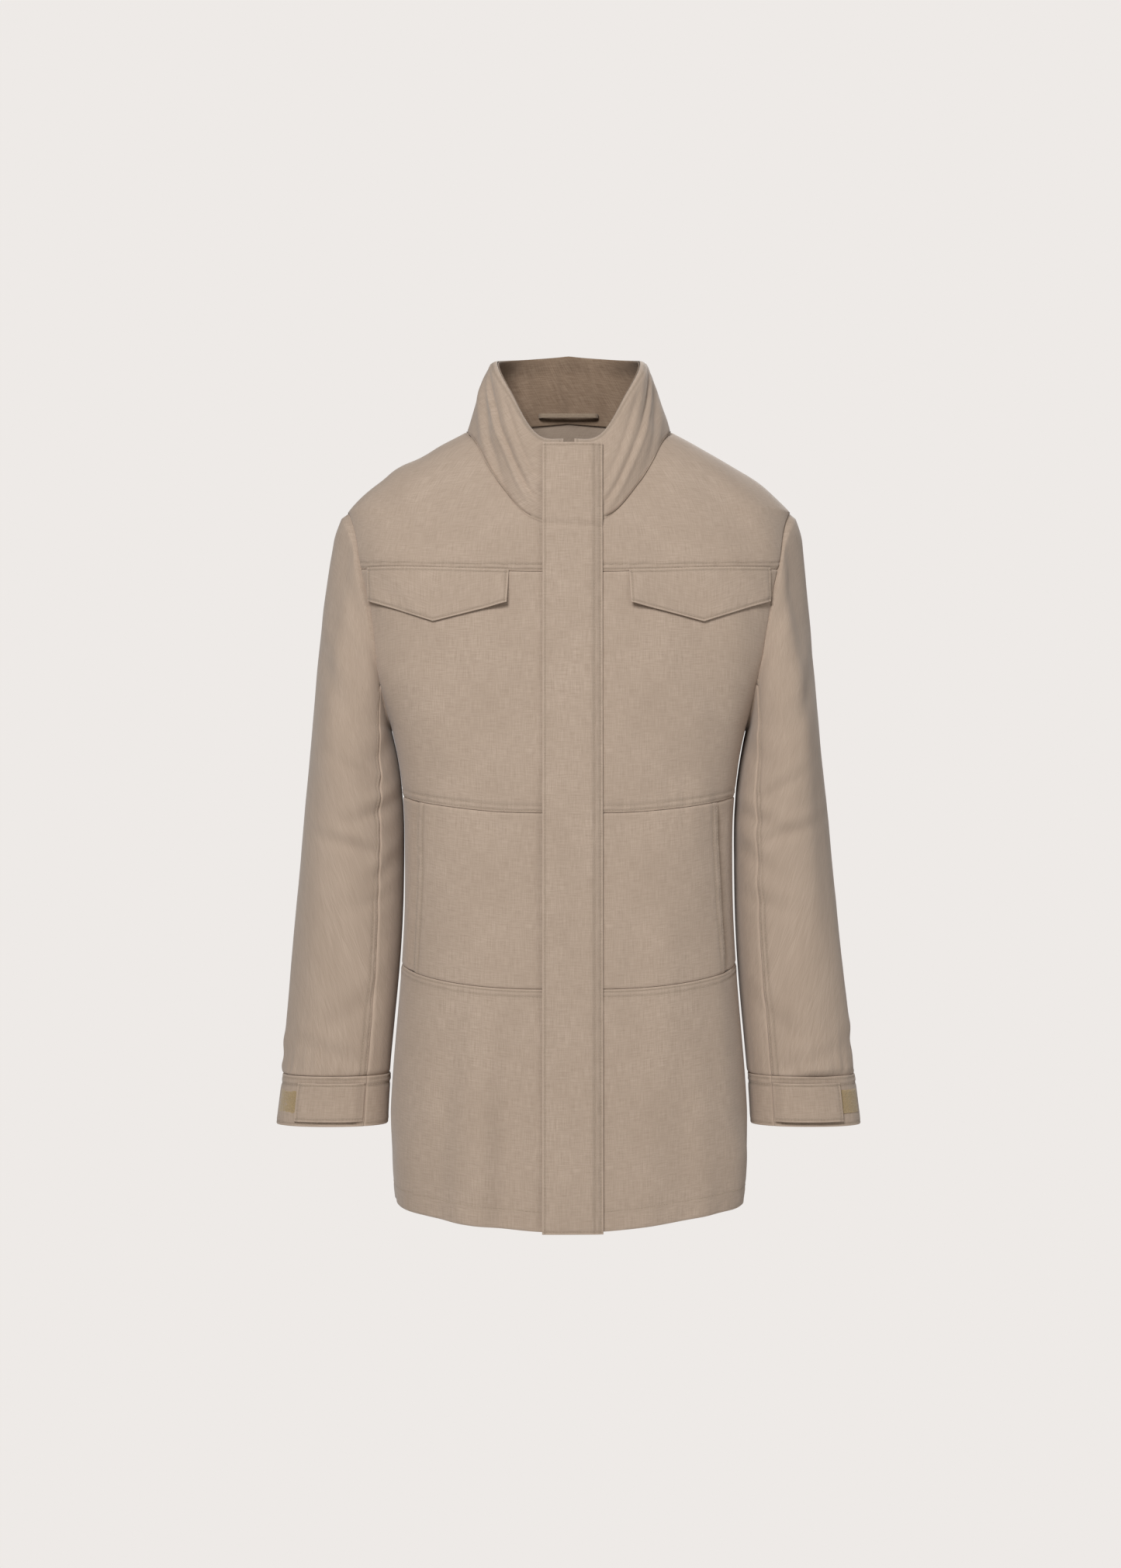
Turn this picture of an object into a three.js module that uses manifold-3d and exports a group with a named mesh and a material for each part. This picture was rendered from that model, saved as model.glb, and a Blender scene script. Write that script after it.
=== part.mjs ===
// A field jacket: a long cloth jacket with a funnel collar, a storm flap over the front zip,
// pointed chest flaps, waist seams with hand pockets, and cuffs closed by hook-and-loop tabs.
// It is shown as worn, filled out, with the sleeves hanging. Millimetres, +Z up, the front faces -Y and the
// wearer's left is +X. Heights are drops below the point where shoulder and neck meet.
// The finished group is moved so that the origin is the middle of the hanger loop's underside.
import * as THREE from "three";
import { mergeVertices } from "three/addons/utils/BufferGeometryUtils.js";
import Module from "manifold-3d";

const wasm = await Module();
wasm.setup();

// ---------------------------------------------------------------- driving dimensions
// Cloth
const shell = 2.2; // outer cloth with its interlining
const seamGap = 0.3; // line between two pieces that are sewn edge to edge
const halfGap = seamGap / 2;
const skin = 0.8; // lining and pocketing

// Body lengths, as drops below the neck point
const bodyLength = 803; // to the hem at the side
const frontHemDip = 20; // how much lower the hem hangs at the front and back centre
const neckDrop = 105; // to the neck seam at the centre front
const backNeckRise = 17; // the back neck seam stands above the neck point
const shoulderDrop = 86; // to the tip of the shoulder
const yokeDrop = 155;
const armpitDrop = 312;
const waistDrop = 402;
const waistTaper = 128; // from the armpit down to where the body is narrowest
const lowerSeamDrop = 580;
const hipAboveHem = 62; // the widest level of the skirt

// Body half widths
const neckHalf = 105;
const shoulderHalf = 235.5;
const armpitHalf = 187;
const waistHalf = 172;
const hipHalf = 188;
const hemTuck = 5;

// Body depths from the line of the side seams
const collarFront = 85; // centre front at the collar's top
const collarFrontDrop = 22; // collar's front edge, below the neck point
const frontLean = 0.0828; // how far the centre front leans back for each millimetre of height
const neckSideDepth = 34; // front of the shoulder beside the neck
const backNeckDepth = 60;
const bladeDepth = 113;
const backWaistDepth = 100;
const backHemDepth = 118;
const backBladeDrop = 207;

// Seams that rise towards the side
const yokeRise = 6;
const waistRise = 17;
const lowerRise = 21;

// Collar
const collarBackHeight = 70; // above the back neck seam
const collarThick = 1.9;
const collarFacing = 1.4;

// Sleeves
const armholeHalfDepth = 66;
const armholeBack = 12; // the armhole's middle lies this far behind the side seam
const sleeveLength = 641; // shoulder tip to the end of the cuff
const sleeveSplay = 70.5; // how far the cuff hangs outside the shoulder tip
const bicepsGirth = 415;
const elbowGirth = 376;
const cuffGirth = 318;
const sleeveClear = 2.5; // between the hanging sleeve and the side of the body
const armholeGap = 0.8;
const cuffHeight = 52;
const cuffThick = 2.6;
const sleeveSeam = 126; // degrees round the sleeve from its outer edge to the front seam

// Cuff tab and its hook-and-loop
const tabHeight = 40;
const tabAboveEdge = 5;
const tabEnd = 54; // degrees round the cuff where the tab's free end lies
const tabThick = 1.8;
const loopHeight = 24;
const loopAboveEdge = 17;
const loopThick = 1;
const hookThick = 0.8;

// Front closure
const frontEdge = 6; // each front stops this far from the centre line
const flapHalf = 29.5; // half the storm flap's width
const flapThick = 2.2;
const flapStand = 4.6; // storm flap's inner face in front of the fronts
const teethIn = 0.7;
const teethOut = 3.1;
const teethThick = 2.6;
const teethDepth = 1.7; // face of the teeth behind the face of the fronts
const tapeOut = 13;
const tapeThick = 0.8;
const tapeDepth = 2.6;
const zipAboveHem = 62;
const zipBelowRim = 5;
const sliderHalf = 5.3;
const sliderLength = 13;
const sliderPlate = 1.4;
const sliderClear = 0.3;
const lugRadius = 1.5;
const lugHeadRadius = 2.5;
const lugHeadThick = 0.8;
const pullThick = 1.1;
const pullLength = 32;
const pullHalf = 4;
const guardHalf = 22;
const guardDepth = 7;
const guardThick = 1.6;

// Chest flaps and pockets
const chestFlapIn = 62; // from the centre front to the flap's inner edge
const chestFlapOut = 208;
const chestFlapSide = 33;
const chestFlapPoint = 54;
const chestFlapThick = 1.8;
const chestFlapStand = 0.6;
const mouthHeight = 7;
const pocketLine = 64.5; // degrees round the body from the centre front to the hand pocket's mouth
const chestBagDepth = 4.6; // a pocket bag from its front wall to its back wall
const handBagDepth = 5.9;
const sidePanelTuck = 7; // the side panel dips this far behind the pocket panel's edge
const chestPocketDepth = 125;
const chestBagWidth = 110;
const bagWall = 1;
const mouthDegrees = 25; // the chest pocket's mouth, round the body
const handMouthSetback = 3.4; // the hand pocket bag starts this many degrees in from the pocket's edge
const handBottom = 36; // degrees from the centre front to the hand pocket bag's bottom
const handAboveSeam = 14; // the hand pocket bag's lower edge above the lower seam
const handBelowWaist = 8;

// Inside
const liningDepth = 10.5; // behind the face of the cloth
const liningEdgeDepth = 4.9; // at its foot, where it meets the hem facing
const liningSideDepth = 8.2;
const liningEdge = 30; // lining starts this far from the centre front
const hemFold = 20;
const loopHalf = 32;
const loopTape = 2.6;
const loopTall = 5;
const loopStand = 9;

// How finely the curved cloth is divided
const rowHeight = 50; // tallest row of a long panel
const liningRows = 20;
const frontColumns = 10; // the lower front and what is nested behind it
const backColumns = 18; // the back panels and what is nested behind them

// ---------------------------------------------------------------- the body's surface
const rad = THREE.MathUtils.degToRad;
const deg = THREE.MathUtils.radToDeg;
const lerp = THREE.MathUtils.lerp;
const hemZ = -bodyLength;
const tipZ = -shoulderDrop;
const armpitZ = -armpitDrop;
const smooth = (t) => THREE.MathUtils.smoothstep(t, 0, 1);

// A smooth curve of value against position through a short list of [position, value] stations.
function through(stations) {
  const slope = stations.map((s, i) => {
    const a = stations[Math.max(i - 1, 0)];
    const b = stations[Math.min(i + 1, stations.length - 1)];
    return (b[1] - a[1]) / (b[0] - a[0]);
  });
  return (x) => {
    const last = stations.length - 2;
    const found = stations.findIndex((s, i) => i <= last && x < stations[i + 1][0]);
    const i = found < 0 ? last : found;
    const [x0, y0] = stations[i];
    const [x1, y1] = stations[i + 1];
    const h = x1 - x0;
    const t = THREE.MathUtils.clamp((x - x0) / h, 0, 1);
    const a = 2 * t ** 3 - 3 * t ** 2 + 1;
    const b = t ** 3 - 2 * t ** 2 + t;
    const c = t ** 3 - t ** 2;
    return a * y0 + b * h * slope[i] + (1 - a) * y1 + c * h * slope[i + 1];
  };
}

function halfWidth(z) {
  const hipZ = hemZ + hipAboveHem;
  const narrowZ = armpitZ - waistTaper;
  if (z > 0) return neckHalf * (1 - 0.1 * (z / backNeckRise) ** 2);
  if (z > tipZ) {
    const s = z / tipZ;
    return neckHalf + (shoulderHalf - neckHalf) * (0.55 * s + 0.45 * Math.sin((s * Math.PI) / 2));
  }
  if (z > armpitZ) {
    const q = (z - armpitZ) / (tipZ - armpitZ);
    return armpitHalf + (shoulderHalf - armpitHalf) * Math.sin((q * Math.PI) / 2);
  }
  if (z > narrowZ) return waistHalf + (armpitHalf - waistHalf) * ((z - narrowZ) / waistTaper) ** 2.2;
  if (z > hipZ) return waistHalf + (hipHalf - waistHalf) * smooth((narrowZ - z) / (narrowZ - hipZ)) ** 1.4;
  return hipHalf - hemTuck * Math.min(1.3, (hipZ - z) / hipAboveHem) ** 2;
}

const frontLine = (z) => collarFront + frontLean * (-collarFrontDrop - z);

function frontDepth(z) {
  if (z < -neckDrop) return frontLine(z);
  const s = Math.max(0, -z / neckDrop);
  return neckSideDepth + (frontLine(-neckDrop) - neckSideDepth) * s ** 0.6;
}

const backDepth = through([
  [hemZ - frontHemDip, backHemDepth],
  [-waistDrop, backWaistDepth],
  [-backBladeDrop, bladeDepth],
  [-shoulderDrop, bladeDepth - 13],
  [0, backNeckDepth + 6],
  [backNeckRise, backNeckDepth],
]);

const squareness = (z) => lerp(2.9, 2.3, smooth((z + yokeDrop) / (yokeDrop - shoulderDrop)));

// The body's cloth at an angle round from the centre front (90 at the left side seam, 180 at the back).
function body(angle, z) {
  const a = rad(angle);
  const s = Math.sin(a);
  const c = Math.cos(a);
  const p = squareness(z);
  const depth = c > 0 ? frontDepth(z) : backDepth(z);
  const r = ((Math.abs(s) / halfWidth(z)) ** p + (Math.abs(c) / depth) ** p) ** (-1 / p);
  return new THREE.Vector3(r * s, -r * c, z);
}

// How far out the body's side lies at a depth y and height z.
function sideX(y, z) {
  const p = squareness(z);
  const depth = y < 0 ? frontDepth(z) : backDepth(z);
  return halfWidth(z) * (1 - Math.min(1, Math.abs(y) / depth) ** p) ** (1 / p);
}

const angleAtX = (x, z) => deg(Math.atan2(x, frontLine(z)));

// Seam heights at an angle round the body.
const rise = (angle) => Math.sin(rad(angle)) ** 4;
const yokeSeam = (angle) => -yokeDrop + yokeRise * rise(angle);
const waistSeam = (angle) => -waistDrop + waistRise * rise(angle);
const lowerSeam = (angle) => -lowerSeamDrop + lowerRise * rise(angle);
const hemLine = (angle) => hemZ - frontHemDip * Math.cos(rad(angle)) ** 2;

const neckStations = through([
  [0, -neckDrop],
  [16, -0.97 * neckDrop],
  [29, -0.87 * neckDrop],
  [43, -0.62 * neckDrop],
  [67, -0.16 * neckDrop],
  [90, 0],
  [135, 0.7 * backNeckRise],
  [180, backNeckRise],
]);
const neckSeam = (angle) => neckStations(angle > 180 ? 360 - angle : angle);

// The armhole is an oval seen from the side; these give its depth at a height and the angle it lies at.
const armholeZ = (tipZ + armpitZ) / 2;
const armholeHalfHeight = (tipZ - armpitZ) / 2;
function armholeAngle(z, side) {
  const reach = Math.sqrt(Math.max(0, 1 - ((z - armholeZ) / armholeHalfHeight) ** 2));
  const y = armholeBack * reach ** 2 + side * armholeHalfDepth * reach;
  return deg(Math.atan2(sideX(y, z), -y));
}
const frontSide = (z) => (z < armpitZ || z > tipZ ? 90 : Math.min(90, armholeAngle(z, -1)));
const backSide = (z) => (z < armpitZ || z > tipZ ? 90 : Math.max(90, armholeAngle(z, 1)));

// ---------------------------------------------------------------- making solids
const materials = {
  shell: new THREE.MeshStandardMaterial({ color: 0xb1a090, roughness: 0.85 }),
  facing: new THREE.MeshStandardMaterial({ color: 0xa39282, roughness: 0.85 }),
  lining: new THREE.MeshStandardMaterial({ color: 0x8c7b6b, roughness: 0.6 }),
  pocketing: new THREE.MeshStandardMaterial({ color: 0x97877a, roughness: 0.9 }),
  loop: new THREE.MeshStandardMaterial({ color: 0x8a7855, roughness: 1 }),
  tape: new THREE.MeshStandardMaterial({ color: 0x8d7c6b, roughness: 0.9 }),
  metal: new THREE.MeshStandardMaterial({ color: 0x6f6458, roughness: 0.4, metalness: 0.9 }),
};

// A box whose faces are bent onto a cloth surface. place(u, v) gives the surface, u and v run from 0 to 1,
// and layer(u, v) gives [outer, inner], how far the two faces lie in front of (+) or behind (-) the surface.
function bentPanel(place, layer, across, up) {
  const geometry = new THREE.BoxGeometry(1, 1, 1, across, up, 1);
  const position = geometry.getAttribute("position");
  const step = 1e-3;
  for (let i = 0; i < position.count; i += 1) {
    const u = position.getX(i) + 0.5;
    const v = position.getY(i) + 0.5;
    const du = place(Math.min(u + step, 1), v).sub(place(Math.max(u - step, 0), v));
    const dv = place(u, Math.min(v + step, 1)).sub(place(u, Math.max(v - step, 0)));
    const normal = du.cross(dv).normalize();
    const [outer, inner] = layer(u, v);
    const point = place(u, v).addScaledVector(normal, position.getZ(i) > 0 ? outer : inner);
    position.setXYZ(i, point.x, point.y, point.z);
  }
  geometry.computeVertexNormals();
  return geometry;
}

const flat = (outer, inner) => () => [outer, inner];

// A four-sided patch of the body between boundary curves, each giving [angle, z].
function patch(bottom, top, start, end) {
  const corners = [bottom(0), bottom(1), top(0), top(1)];
  return (u, v) => {
    const at = [0, 1].map((k) => {
      const [b0, b1, t0, t1] = corners.map((corner) => corner[k]);
      const rows = lerp(bottom(u)[k], top(u)[k], v);
      const columns = lerp(start(v)[k], end(v)[k], u);
      return rows + columns - lerp(lerp(b0, b1, u), lerp(t0, t1, u), v);
    });
    return body(at[0], at[1]);
  };
}

// Where a seam meets a cut edge, and the two kinds of line between such corners. An edge is given by its
// angle at each height, a seam by its height at each angle.
function corner(seam, edge, shift) {
  let z = seam(90);
  for (let i = 0; i < 5; i += 1) z = seam(edge(z)) + shift;
  return [edge(z), z];
}
const alongSeam = (a, b, seam, shift) => (t) => {
  const angle = lerp(a[0], b[0], t);
  return [angle, seam(angle) + shift];
};
const alongEdge = (a, b, edge) => (t) => {
  const z = lerp(a[1], b[1], t);
  return [edge(z), z];
};

// A band of the body between two seams, from one cut edge to another.
function band(lower, upper, from, to) {
  const b0 = corner(lower, from, halfGap);
  const b1 = corner(lower, to, halfGap);
  const t0 = corner(upper, from, -halfGap);
  const t1 = corner(upper, to, -halfGap);
  return patch(
    alongSeam(b0, b1, lower, halfGap),
    alongSeam(t0, t1, upper, -halfGap),
    alongEdge(b0, t0, from),
    alongEdge(b1, t1, to),
  );
}

// A yoke's top edge follows the neck seam and then, past the neck point, the shoulder seam.
function frontYoke() {
  const neckShare = 2 / 3;
  const b0 = corner(yokeSeam, centreFront, halfGap);
  const b1 = corner(yokeSeam, frontSide, halfGap);
  const t0 = corner(neckSeam, centreFront, -halfGap);
  const top = (t) => {
    const past = (t - neckShare) / (1 - neckShare);
    if (past > 0) return [90, lerp(-halfGap, tipZ, past)];
    const angle = lerp(t0[0], 90, t / neckShare);
    return [angle, neckSeam(angle) - halfGap];
  };
  return patch(
    alongSeam(b0, b1, yokeSeam, halfGap),
    top,
    alongEdge(b0, t0, centreFront),
    alongEdge(b1, top(1), frontSide),
  );
}

function backYoke(from, to) {
  const share = 0.2;
  const b0 = corner(yokeSeam, from, halfGap);
  const b1 = corner(yokeSeam, to, halfGap);
  const top = (t) => {
    const over = (t - share) / (1 - 2 * share);
    const angle = lerp(from(0), to(0), THREE.MathUtils.clamp(over, 0, 1));
    const past = Math.max(share - t, t - 1 + share) / share;
    return [angle, past > 0 ? lerp(-halfGap, tipZ, past) : neckSeam(angle) - halfGap];
  };
  return patch(
    alongSeam(b0, b1, yokeSeam, halfGap),
    top,
    alongEdge(b0, top(0), from),
    alongEdge(b1, top(1), to),
  );
}

const group = new THREE.Group();
const left = new THREE.Group();
const right = new THREE.Group();
right.scale.x = -1;
group.add(left, right);

function add(parent, name, geometry, material) {
  const mesh = new THREE.Mesh(geometry, material);
  mesh.name = name;
  parent.add(mesh);
  return mesh;
}

// The same piece on the wearer's left and, mirrored, on the right.
function addPair(name, make, material) {
  add(left, "left_" + name, make(), material);
  add(right, "right_" + name, make(), material);
}

function solid(geometry) {
  const bare = geometry.clone();
  bare.deleteAttribute("normal");
  bare.deleteAttribute("uv");
  const merged = mergeVertices(bare.index ? bare.toNonIndexed() : bare, 1e-4);
  const triVerts = new Uint32Array(merged.index.array);
  const vertProperties = merged.attributes.position.array;
  return new wasm.Manifold(new wasm.Mesh({ numProp: 3, vertProperties, triVerts }));
}

function geometryOf(made) {
  const mesh = made.getMesh();
  const geometry = new THREE.BufferGeometry();
  geometry.setAttribute("position", new THREE.BufferAttribute(mesh.vertProperties, 3));
  geometry.setIndex(new THREE.BufferAttribute(mesh.triVerts, 1));
  geometry.computeVertexNormals();
  return geometry;
}

// ---------------------------------------------------------------- body panels
const side = () => 90;
const centreFront = (z) => angleAtX(frontEdge, z);
const liningStart = (z) => angleAtX(liningEdge, z);
const pocketEdge = () => pocketLine;
const pocketUnder = () => pocketLine - 3;
const cloth = flat(0, -shell);
const ramp = (t, width) => smooth(Math.min(t, 1 - t) / width);

// The chest panel's top edge dips under the chest flap to make the chest pocket's mouth.
const mouthFrom = angleAtX(chestFlapIn + 8, -yokeDrop);
const mouthTo = mouthFrom + mouthDegrees;
function chestTop(angle) {
  const t = (angle - mouthFrom) / (mouthTo - mouthFrom);
  return yokeSeam(angle) - (t > 0 && t < 1 ? mouthHeight * ramp(t, 0.15) : 0);
}

// The side panel's front edge dips behind the pocket panel to make the hand pocket's mouth.
function tucked(u) {
  const dip = sidePanelTuck * (1 - smooth(u / 0.4));
  return [-dip, -dip - shell];
}

addPair("front_yoke", () => bentPanel(frontYoke(), cloth, 12, 7), materials.shell);
addPair(
  "chest_panel",
  () => bentPanel(band(waistSeam, chestTop, centreFront, frontSide), cloth, 18, 10),
  materials.shell,
);
addPair(
  "pocket_panel",
  () => bentPanel(band(lowerSeam, waistSeam, centreFront, pocketEdge), cloth, 14, 3),
  materials.shell,
);
addPair(
  "side_panel",
  () => bentPanel(band(lowerSeam, waistSeam, pocketUnder, side), tucked, 6, 4),
  materials.shell,
);
const rowsFor = (tall) => Math.ceil(tall / rowHeight);
addPair(
  "lower_front",
  () => {
    const rows = rowsFor(bodyLength - lowerSeamDrop);
    return bentPanel(band(hemLine, lowerSeam, centreFront, side), cloth, frontColumns, rows);
  },
  materials.shell,
);

// The back is one piece from side to side, drawn round from 90 to 270 degrees.
const mirrorBack = (edge) => (z) => 360 - edge(z);
const sideGap = deg(seamGap / neckHalf);
const backFrom = (z) => Math.max(backSide(z), 90 + sideGap);
const backTo = mirrorBack(backFrom);
add(group, "back_yoke", bentPanel(backYoke(backFrom, backTo), cloth, 20, 7), materials.shell);
const backBand = band(waistSeam, yokeSeam, backFrom, backTo);
add(group, "back_panel", bentPanel(backBand, cloth, backColumns, 9), materials.shell);
const skirtBand = band(hemLine, waistSeam, backFrom, backTo);
const skirtRows = rowsFor(bodyLength - waistDrop);
add(group, "back_skirt", bentPanel(skirtBand, cloth, backColumns, skirtRows), materials.shell);

// ---------------------------------------------------------------- linings and facings
const hemFoldTop = (angle) => hemLine(angle) + hemFold;
const facingEdge = (z) => angleAtX(tapeOut + 0.5, z);
const liningGap = (z) => angleAtX(liningEdge - seamGap, z);
const underShell = shell + seamGap;
const facing = flat(-underShell, -underShell - skin);
const hemFacing = (u, v) => [-underShell - 0.3 - v, -underShell - 0.3 - v - skin];
function lined(u, v) {
  const across = lerp(liningSideDepth, liningDepth, ramp(u, 0.14));
  const deep = lerp(liningEdgeDepth, across, smooth(v / 0.09));
  return [-deep, -deep - skin];
}
addPair(
  "front_facing",
  () => bentPanel(band(hemFoldTop, neckSeam, facingEdge, liningGap), facing, 1, 10),
  materials.facing,
);
addPair(
  "hem_facing",
  () => bentPanel(band(hemLine, hemFoldTop, centreFront, side), hemFacing, frontColumns, 1),
  materials.facing,
);
const backFold = band(hemLine, hemFoldTop, backFrom, backTo);
add(group, "back_hem_facing", bentPanel(backFold, hemFacing, backColumns, 1), materials.facing);
addPair(
  "lining",
  () => bentPanel(band(hemFoldTop, yokeSeam, liningStart, frontSide), lined, 9, liningRows),
  materials.lining,
);
const backLining = band(hemFoldTop, yokeSeam, backFrom, backTo);
add(group, "back_lining", bentPanel(backLining, lined, backColumns, liningRows), materials.lining);

// ---------------------------------------------------------------- collar
const rimHalf = through([
  [0, collarFront],
  [45, 83],
  [90, 81],
  [135, 73],
  [180, backNeckDepth + 3],
]);
const rimHeight = through([
  [0, -collarFrontDrop + 5],
  [22, -collarFrontDrop + 10],
  [45, 34],
  [66, 62],
  [90, 76],
  [180, backNeckRise + collarBackHeight],
]);
const folded = (curve) => (angle) => curve(angle > 180 ? 360 - angle : angle);
function collar(angle, v) {
  const base = body(angle, neckSeam(angle));
  const a = rad(angle);
  const squareFront = Math.cos(a) > 0 ? 2.7 : 2.1;
  const r = folded(rimHalf)(angle);
  const sum = Math.abs(Math.sin(a)) ** squareFront + Math.abs(Math.cos(a)) ** squareFront;
  const norm = sum ** (-1 / squareFront);
  const rim = new THREE.Vector3(r * norm * Math.sin(a), -r * norm * Math.cos(a), folded(rimHeight)(angle));
  const point = base.clone().lerp(rim, v);
  point.z = lerp(base.z + 3 * seamGap, rim.z, v);
  return point;
}
const collarStart = 3.95;
const collarColumns = 36;
const facingStart = collarStart + (360 - 2 * collarStart) / collarColumns;
const around = (from) => (u, v) => collar(lerp(from, 360 - from, u), v);
const collarShell = bentPanel(around(collarStart), flat(0, -collarThick), collarColumns, 4);
add(group, "collar", collarShell, materials.shell);
const collarIn = collarThick + 0.8;
add(
  group,
  "collar_facing",
  bentPanel(around(facingStart), flat(-collarIn, -collarIn - collarFacing), collarColumns - 2, 4),
  materials.facing,
);

// ---------------------------------------------------------------- sleeves
const cuffEndZ = tipZ - sleeveLength;
const cuffTopZ = cuffEndZ + cuffHeight;
const outerHang = through([
  [cuffEndZ, shoulderHalf + sleeveSplay],
  [cuffEndZ + 76, shoulderHalf + 0.88 * sleeveSplay],
  [cuffEndZ + 0.565 * sleeveLength, shoulderHalf + 0.525 * sleeveSplay],
  [tipZ - 32, shoulderHalf + 0.15 * sleeveSplay],
  [tipZ, shoulderHalf],
]);
function innerHang(z) {
  const t = THREE.MathUtils.clamp((armpitZ - 40 - z) / (armpitZ - 40 - cuffEndZ), 0, 1);
  const room = 11 * Math.sin(Math.PI * t) ** 2;
  return z > armpitZ ? armpitHalf + sleeveClear : halfWidth(z) + sleeveClear + room;
}
const halfDepthFor = (girth, halfAcross) => Math.sqrt(2 * (girth / (2 * Math.PI)) ** 2 - halfAcross ** 2);
const elbowZ = armpitZ - 140;
const hangDepth = through([
  [cuffEndZ, halfDepthFor(cuffGirth, 58)],
  [cuffTopZ, halfDepthFor(cuffGirth * 1.02, 57)],
  [elbowZ, halfDepthFor(elbowGirth, 51)],
  [armpitZ, halfDepthFor(bicepsGirth, 37)],
  [tipZ, armholeHalfDepth],
]);
const hangCentre = through([
  [cuffEndZ, -24],
  [elbowZ, 0],
  [armpitZ, armholeBack],
  [tipZ, armholeBack / 2],
]);
const power = (value, exponent) => Math.sign(value) * Math.abs(value) ** exponent;

// The hanging sleeve at an angle round from its outer edge (90 at the front) and a height.
function sleeveTube(angle, z) {
  const outer = outerHang(z);
  const inner = innerHang(z);
  const c = power(Math.cos(rad(angle)), 0.92);
  const s = power(Math.sin(rad(angle)), 0.92);
  const x = (outer + inner) / 2 + ((outer - inner) / 2) * c;
  return new THREE.Vector3(x, hangCentre(z) - hangDepth(z) * s, z);
}

// The sleeve's head lies just outside the body along the armhole.
function armhole(angle) {
  const reach = Math.sin(rad(angle));
  const y = armholeBack * reach ** 2 - armholeHalfDepth * reach;
  const z = armholeZ + armholeHalfHeight * Math.cos(rad(angle));
  const x = sideX(y, z);
  const round = deg(Math.atan2(x, -y));
  const step = 0.5;
  const across = body(round + step, z).sub(body(round - step, z));
  const up = body(round, z + step).sub(body(round, z - step));
  const stand = armholeGap + shell;
  return new THREE.Vector3(x, y, z).addScaledVector(across.cross(up).normalize(), stand);
}

function sleeve(angle, v) {
  const head = armhole(angle);
  const z = lerp(head.z, cuffTopZ + halfGap, v);
  const blend = 1 - smooth(v / 0.42);
  const offset = head.sub(sleeveTube(angle, head.z)).multiplyScalar(blend);
  offset.z = 0;
  return sleeveTube(angle, z).add(offset);
}

const seamAngle = deg(halfGap / 60);
const sleevePart = (from, to) => (u, v) => sleeve(lerp(from, to, u), v);
const cuffRing = (from, to, low, high) => (u, v) => sleeveTube(lerp(from, to, u), lerp(high, low, v));
addPair(
  "top_sleeve",
  () => bentPanel(sleevePart(seamAngle - sleeveSeam, sleeveSeam - seamAngle), cloth, 16, 14),
  materials.shell,
);
addPair(
  "under_sleeve",
  () => bentPanel(sleevePart(sleeveSeam + seamAngle, 360 - sleeveSeam - seamAngle), cloth, 7, 14),
  materials.shell,
);
const cuffColumns = 24;
const cuffStep = 358 / cuffColumns;
const cuffFrom = sleeveSeam + 1;
addPair(
  "cuff",
  () => {
    const ring = cuffRing(cuffFrom, cuffFrom + cuffColumns * cuffStep, cuffEndZ, cuffTopZ - halfGap);
    return bentPanel(ring, flat(0, -cuffThick), cuffColumns, 2);
  },
  materials.shell,
);

// The tab is sewn in at the sleeve seam, and its hook pad holds the loop patch on the cuff's outer side.
const loopFace = seamGap + loopThick;
const hookFace = loopFace + seamGap;
const tabFace = hookFace + hookThick + seamGap;
const tabLow = cuffEndZ + tabAboveEdge;
const loopLow = cuffEndZ + loopAboveEdge;
addPair(
  "cuff_loop_patch",
  () => {
    const from = cuffFrom + 17 * cuffStep - 360;
    const ring = cuffRing(from, from + 5 * cuffStep, loopLow - 4, loopLow - 4 + loopHeight);
    return bentPanel(ring, flat(loopFace, seamGap), 5, 1);
  },
  materials.loop,
);
addPair(
  "cuff_tab_hook",
  () => {
    const ring = cuffRing(tabEnd + 3, tabEnd + 24, loopLow - 3, loopLow - 5 + loopHeight);
    return bentPanel(ring, flat(hookFace + hookThick, hookFace), 2, 1);
  },
  materials.loop,
);
const tabRing = cuffRing(tabEnd, sleeveSeam - 2, tabLow, tabLow + tabHeight);
function tabLayer(u) {
  const lift = lerp(tabFace, seamGap, smooth((u - 0.82) / 0.16));
  return [lift + tabThick, lift];
}
addPair("cuff_tab", () => bentPanel(tabRing, tabLayer, 8, 2), materials.shell);

// ---------------------------------------------------------------- chest flaps
function bodyYAt(x, z) {
  const p = squareness(z);
  return -frontDepth(z) * (1 - (x / halfWidth(z)) ** p) ** (1 / p);
}
const flapFrom = angleAtX(chestFlapIn, -yokeDrop);
const flapTo = deg(Math.atan2(chestFlapOut, -bodyYAt(chestFlapOut, -yokeDrop)));
function chestFlap(u, v) {
  const angle = lerp(flapFrom, flapTo, u);
  const x = body(angle, -yokeDrop).x;
  const t = (x - chestFlapIn) / (chestFlapOut - chestFlapIn);
  const length = chestFlapSide + (chestFlapPoint - chestFlapSide) * (1 - Math.abs(2 * t - 1));
  return body(angle, lerp(yokeSeam(angle) - length, yokeSeam(angle) + 1.5, v));
}
const flapLayer = flat(chestFlapStand + chestFlapThick, chestFlapStand);
addPair("chest_flap", () => bentPanel(chestFlap, flapLayer, 12, 3), materials.shell);

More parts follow.
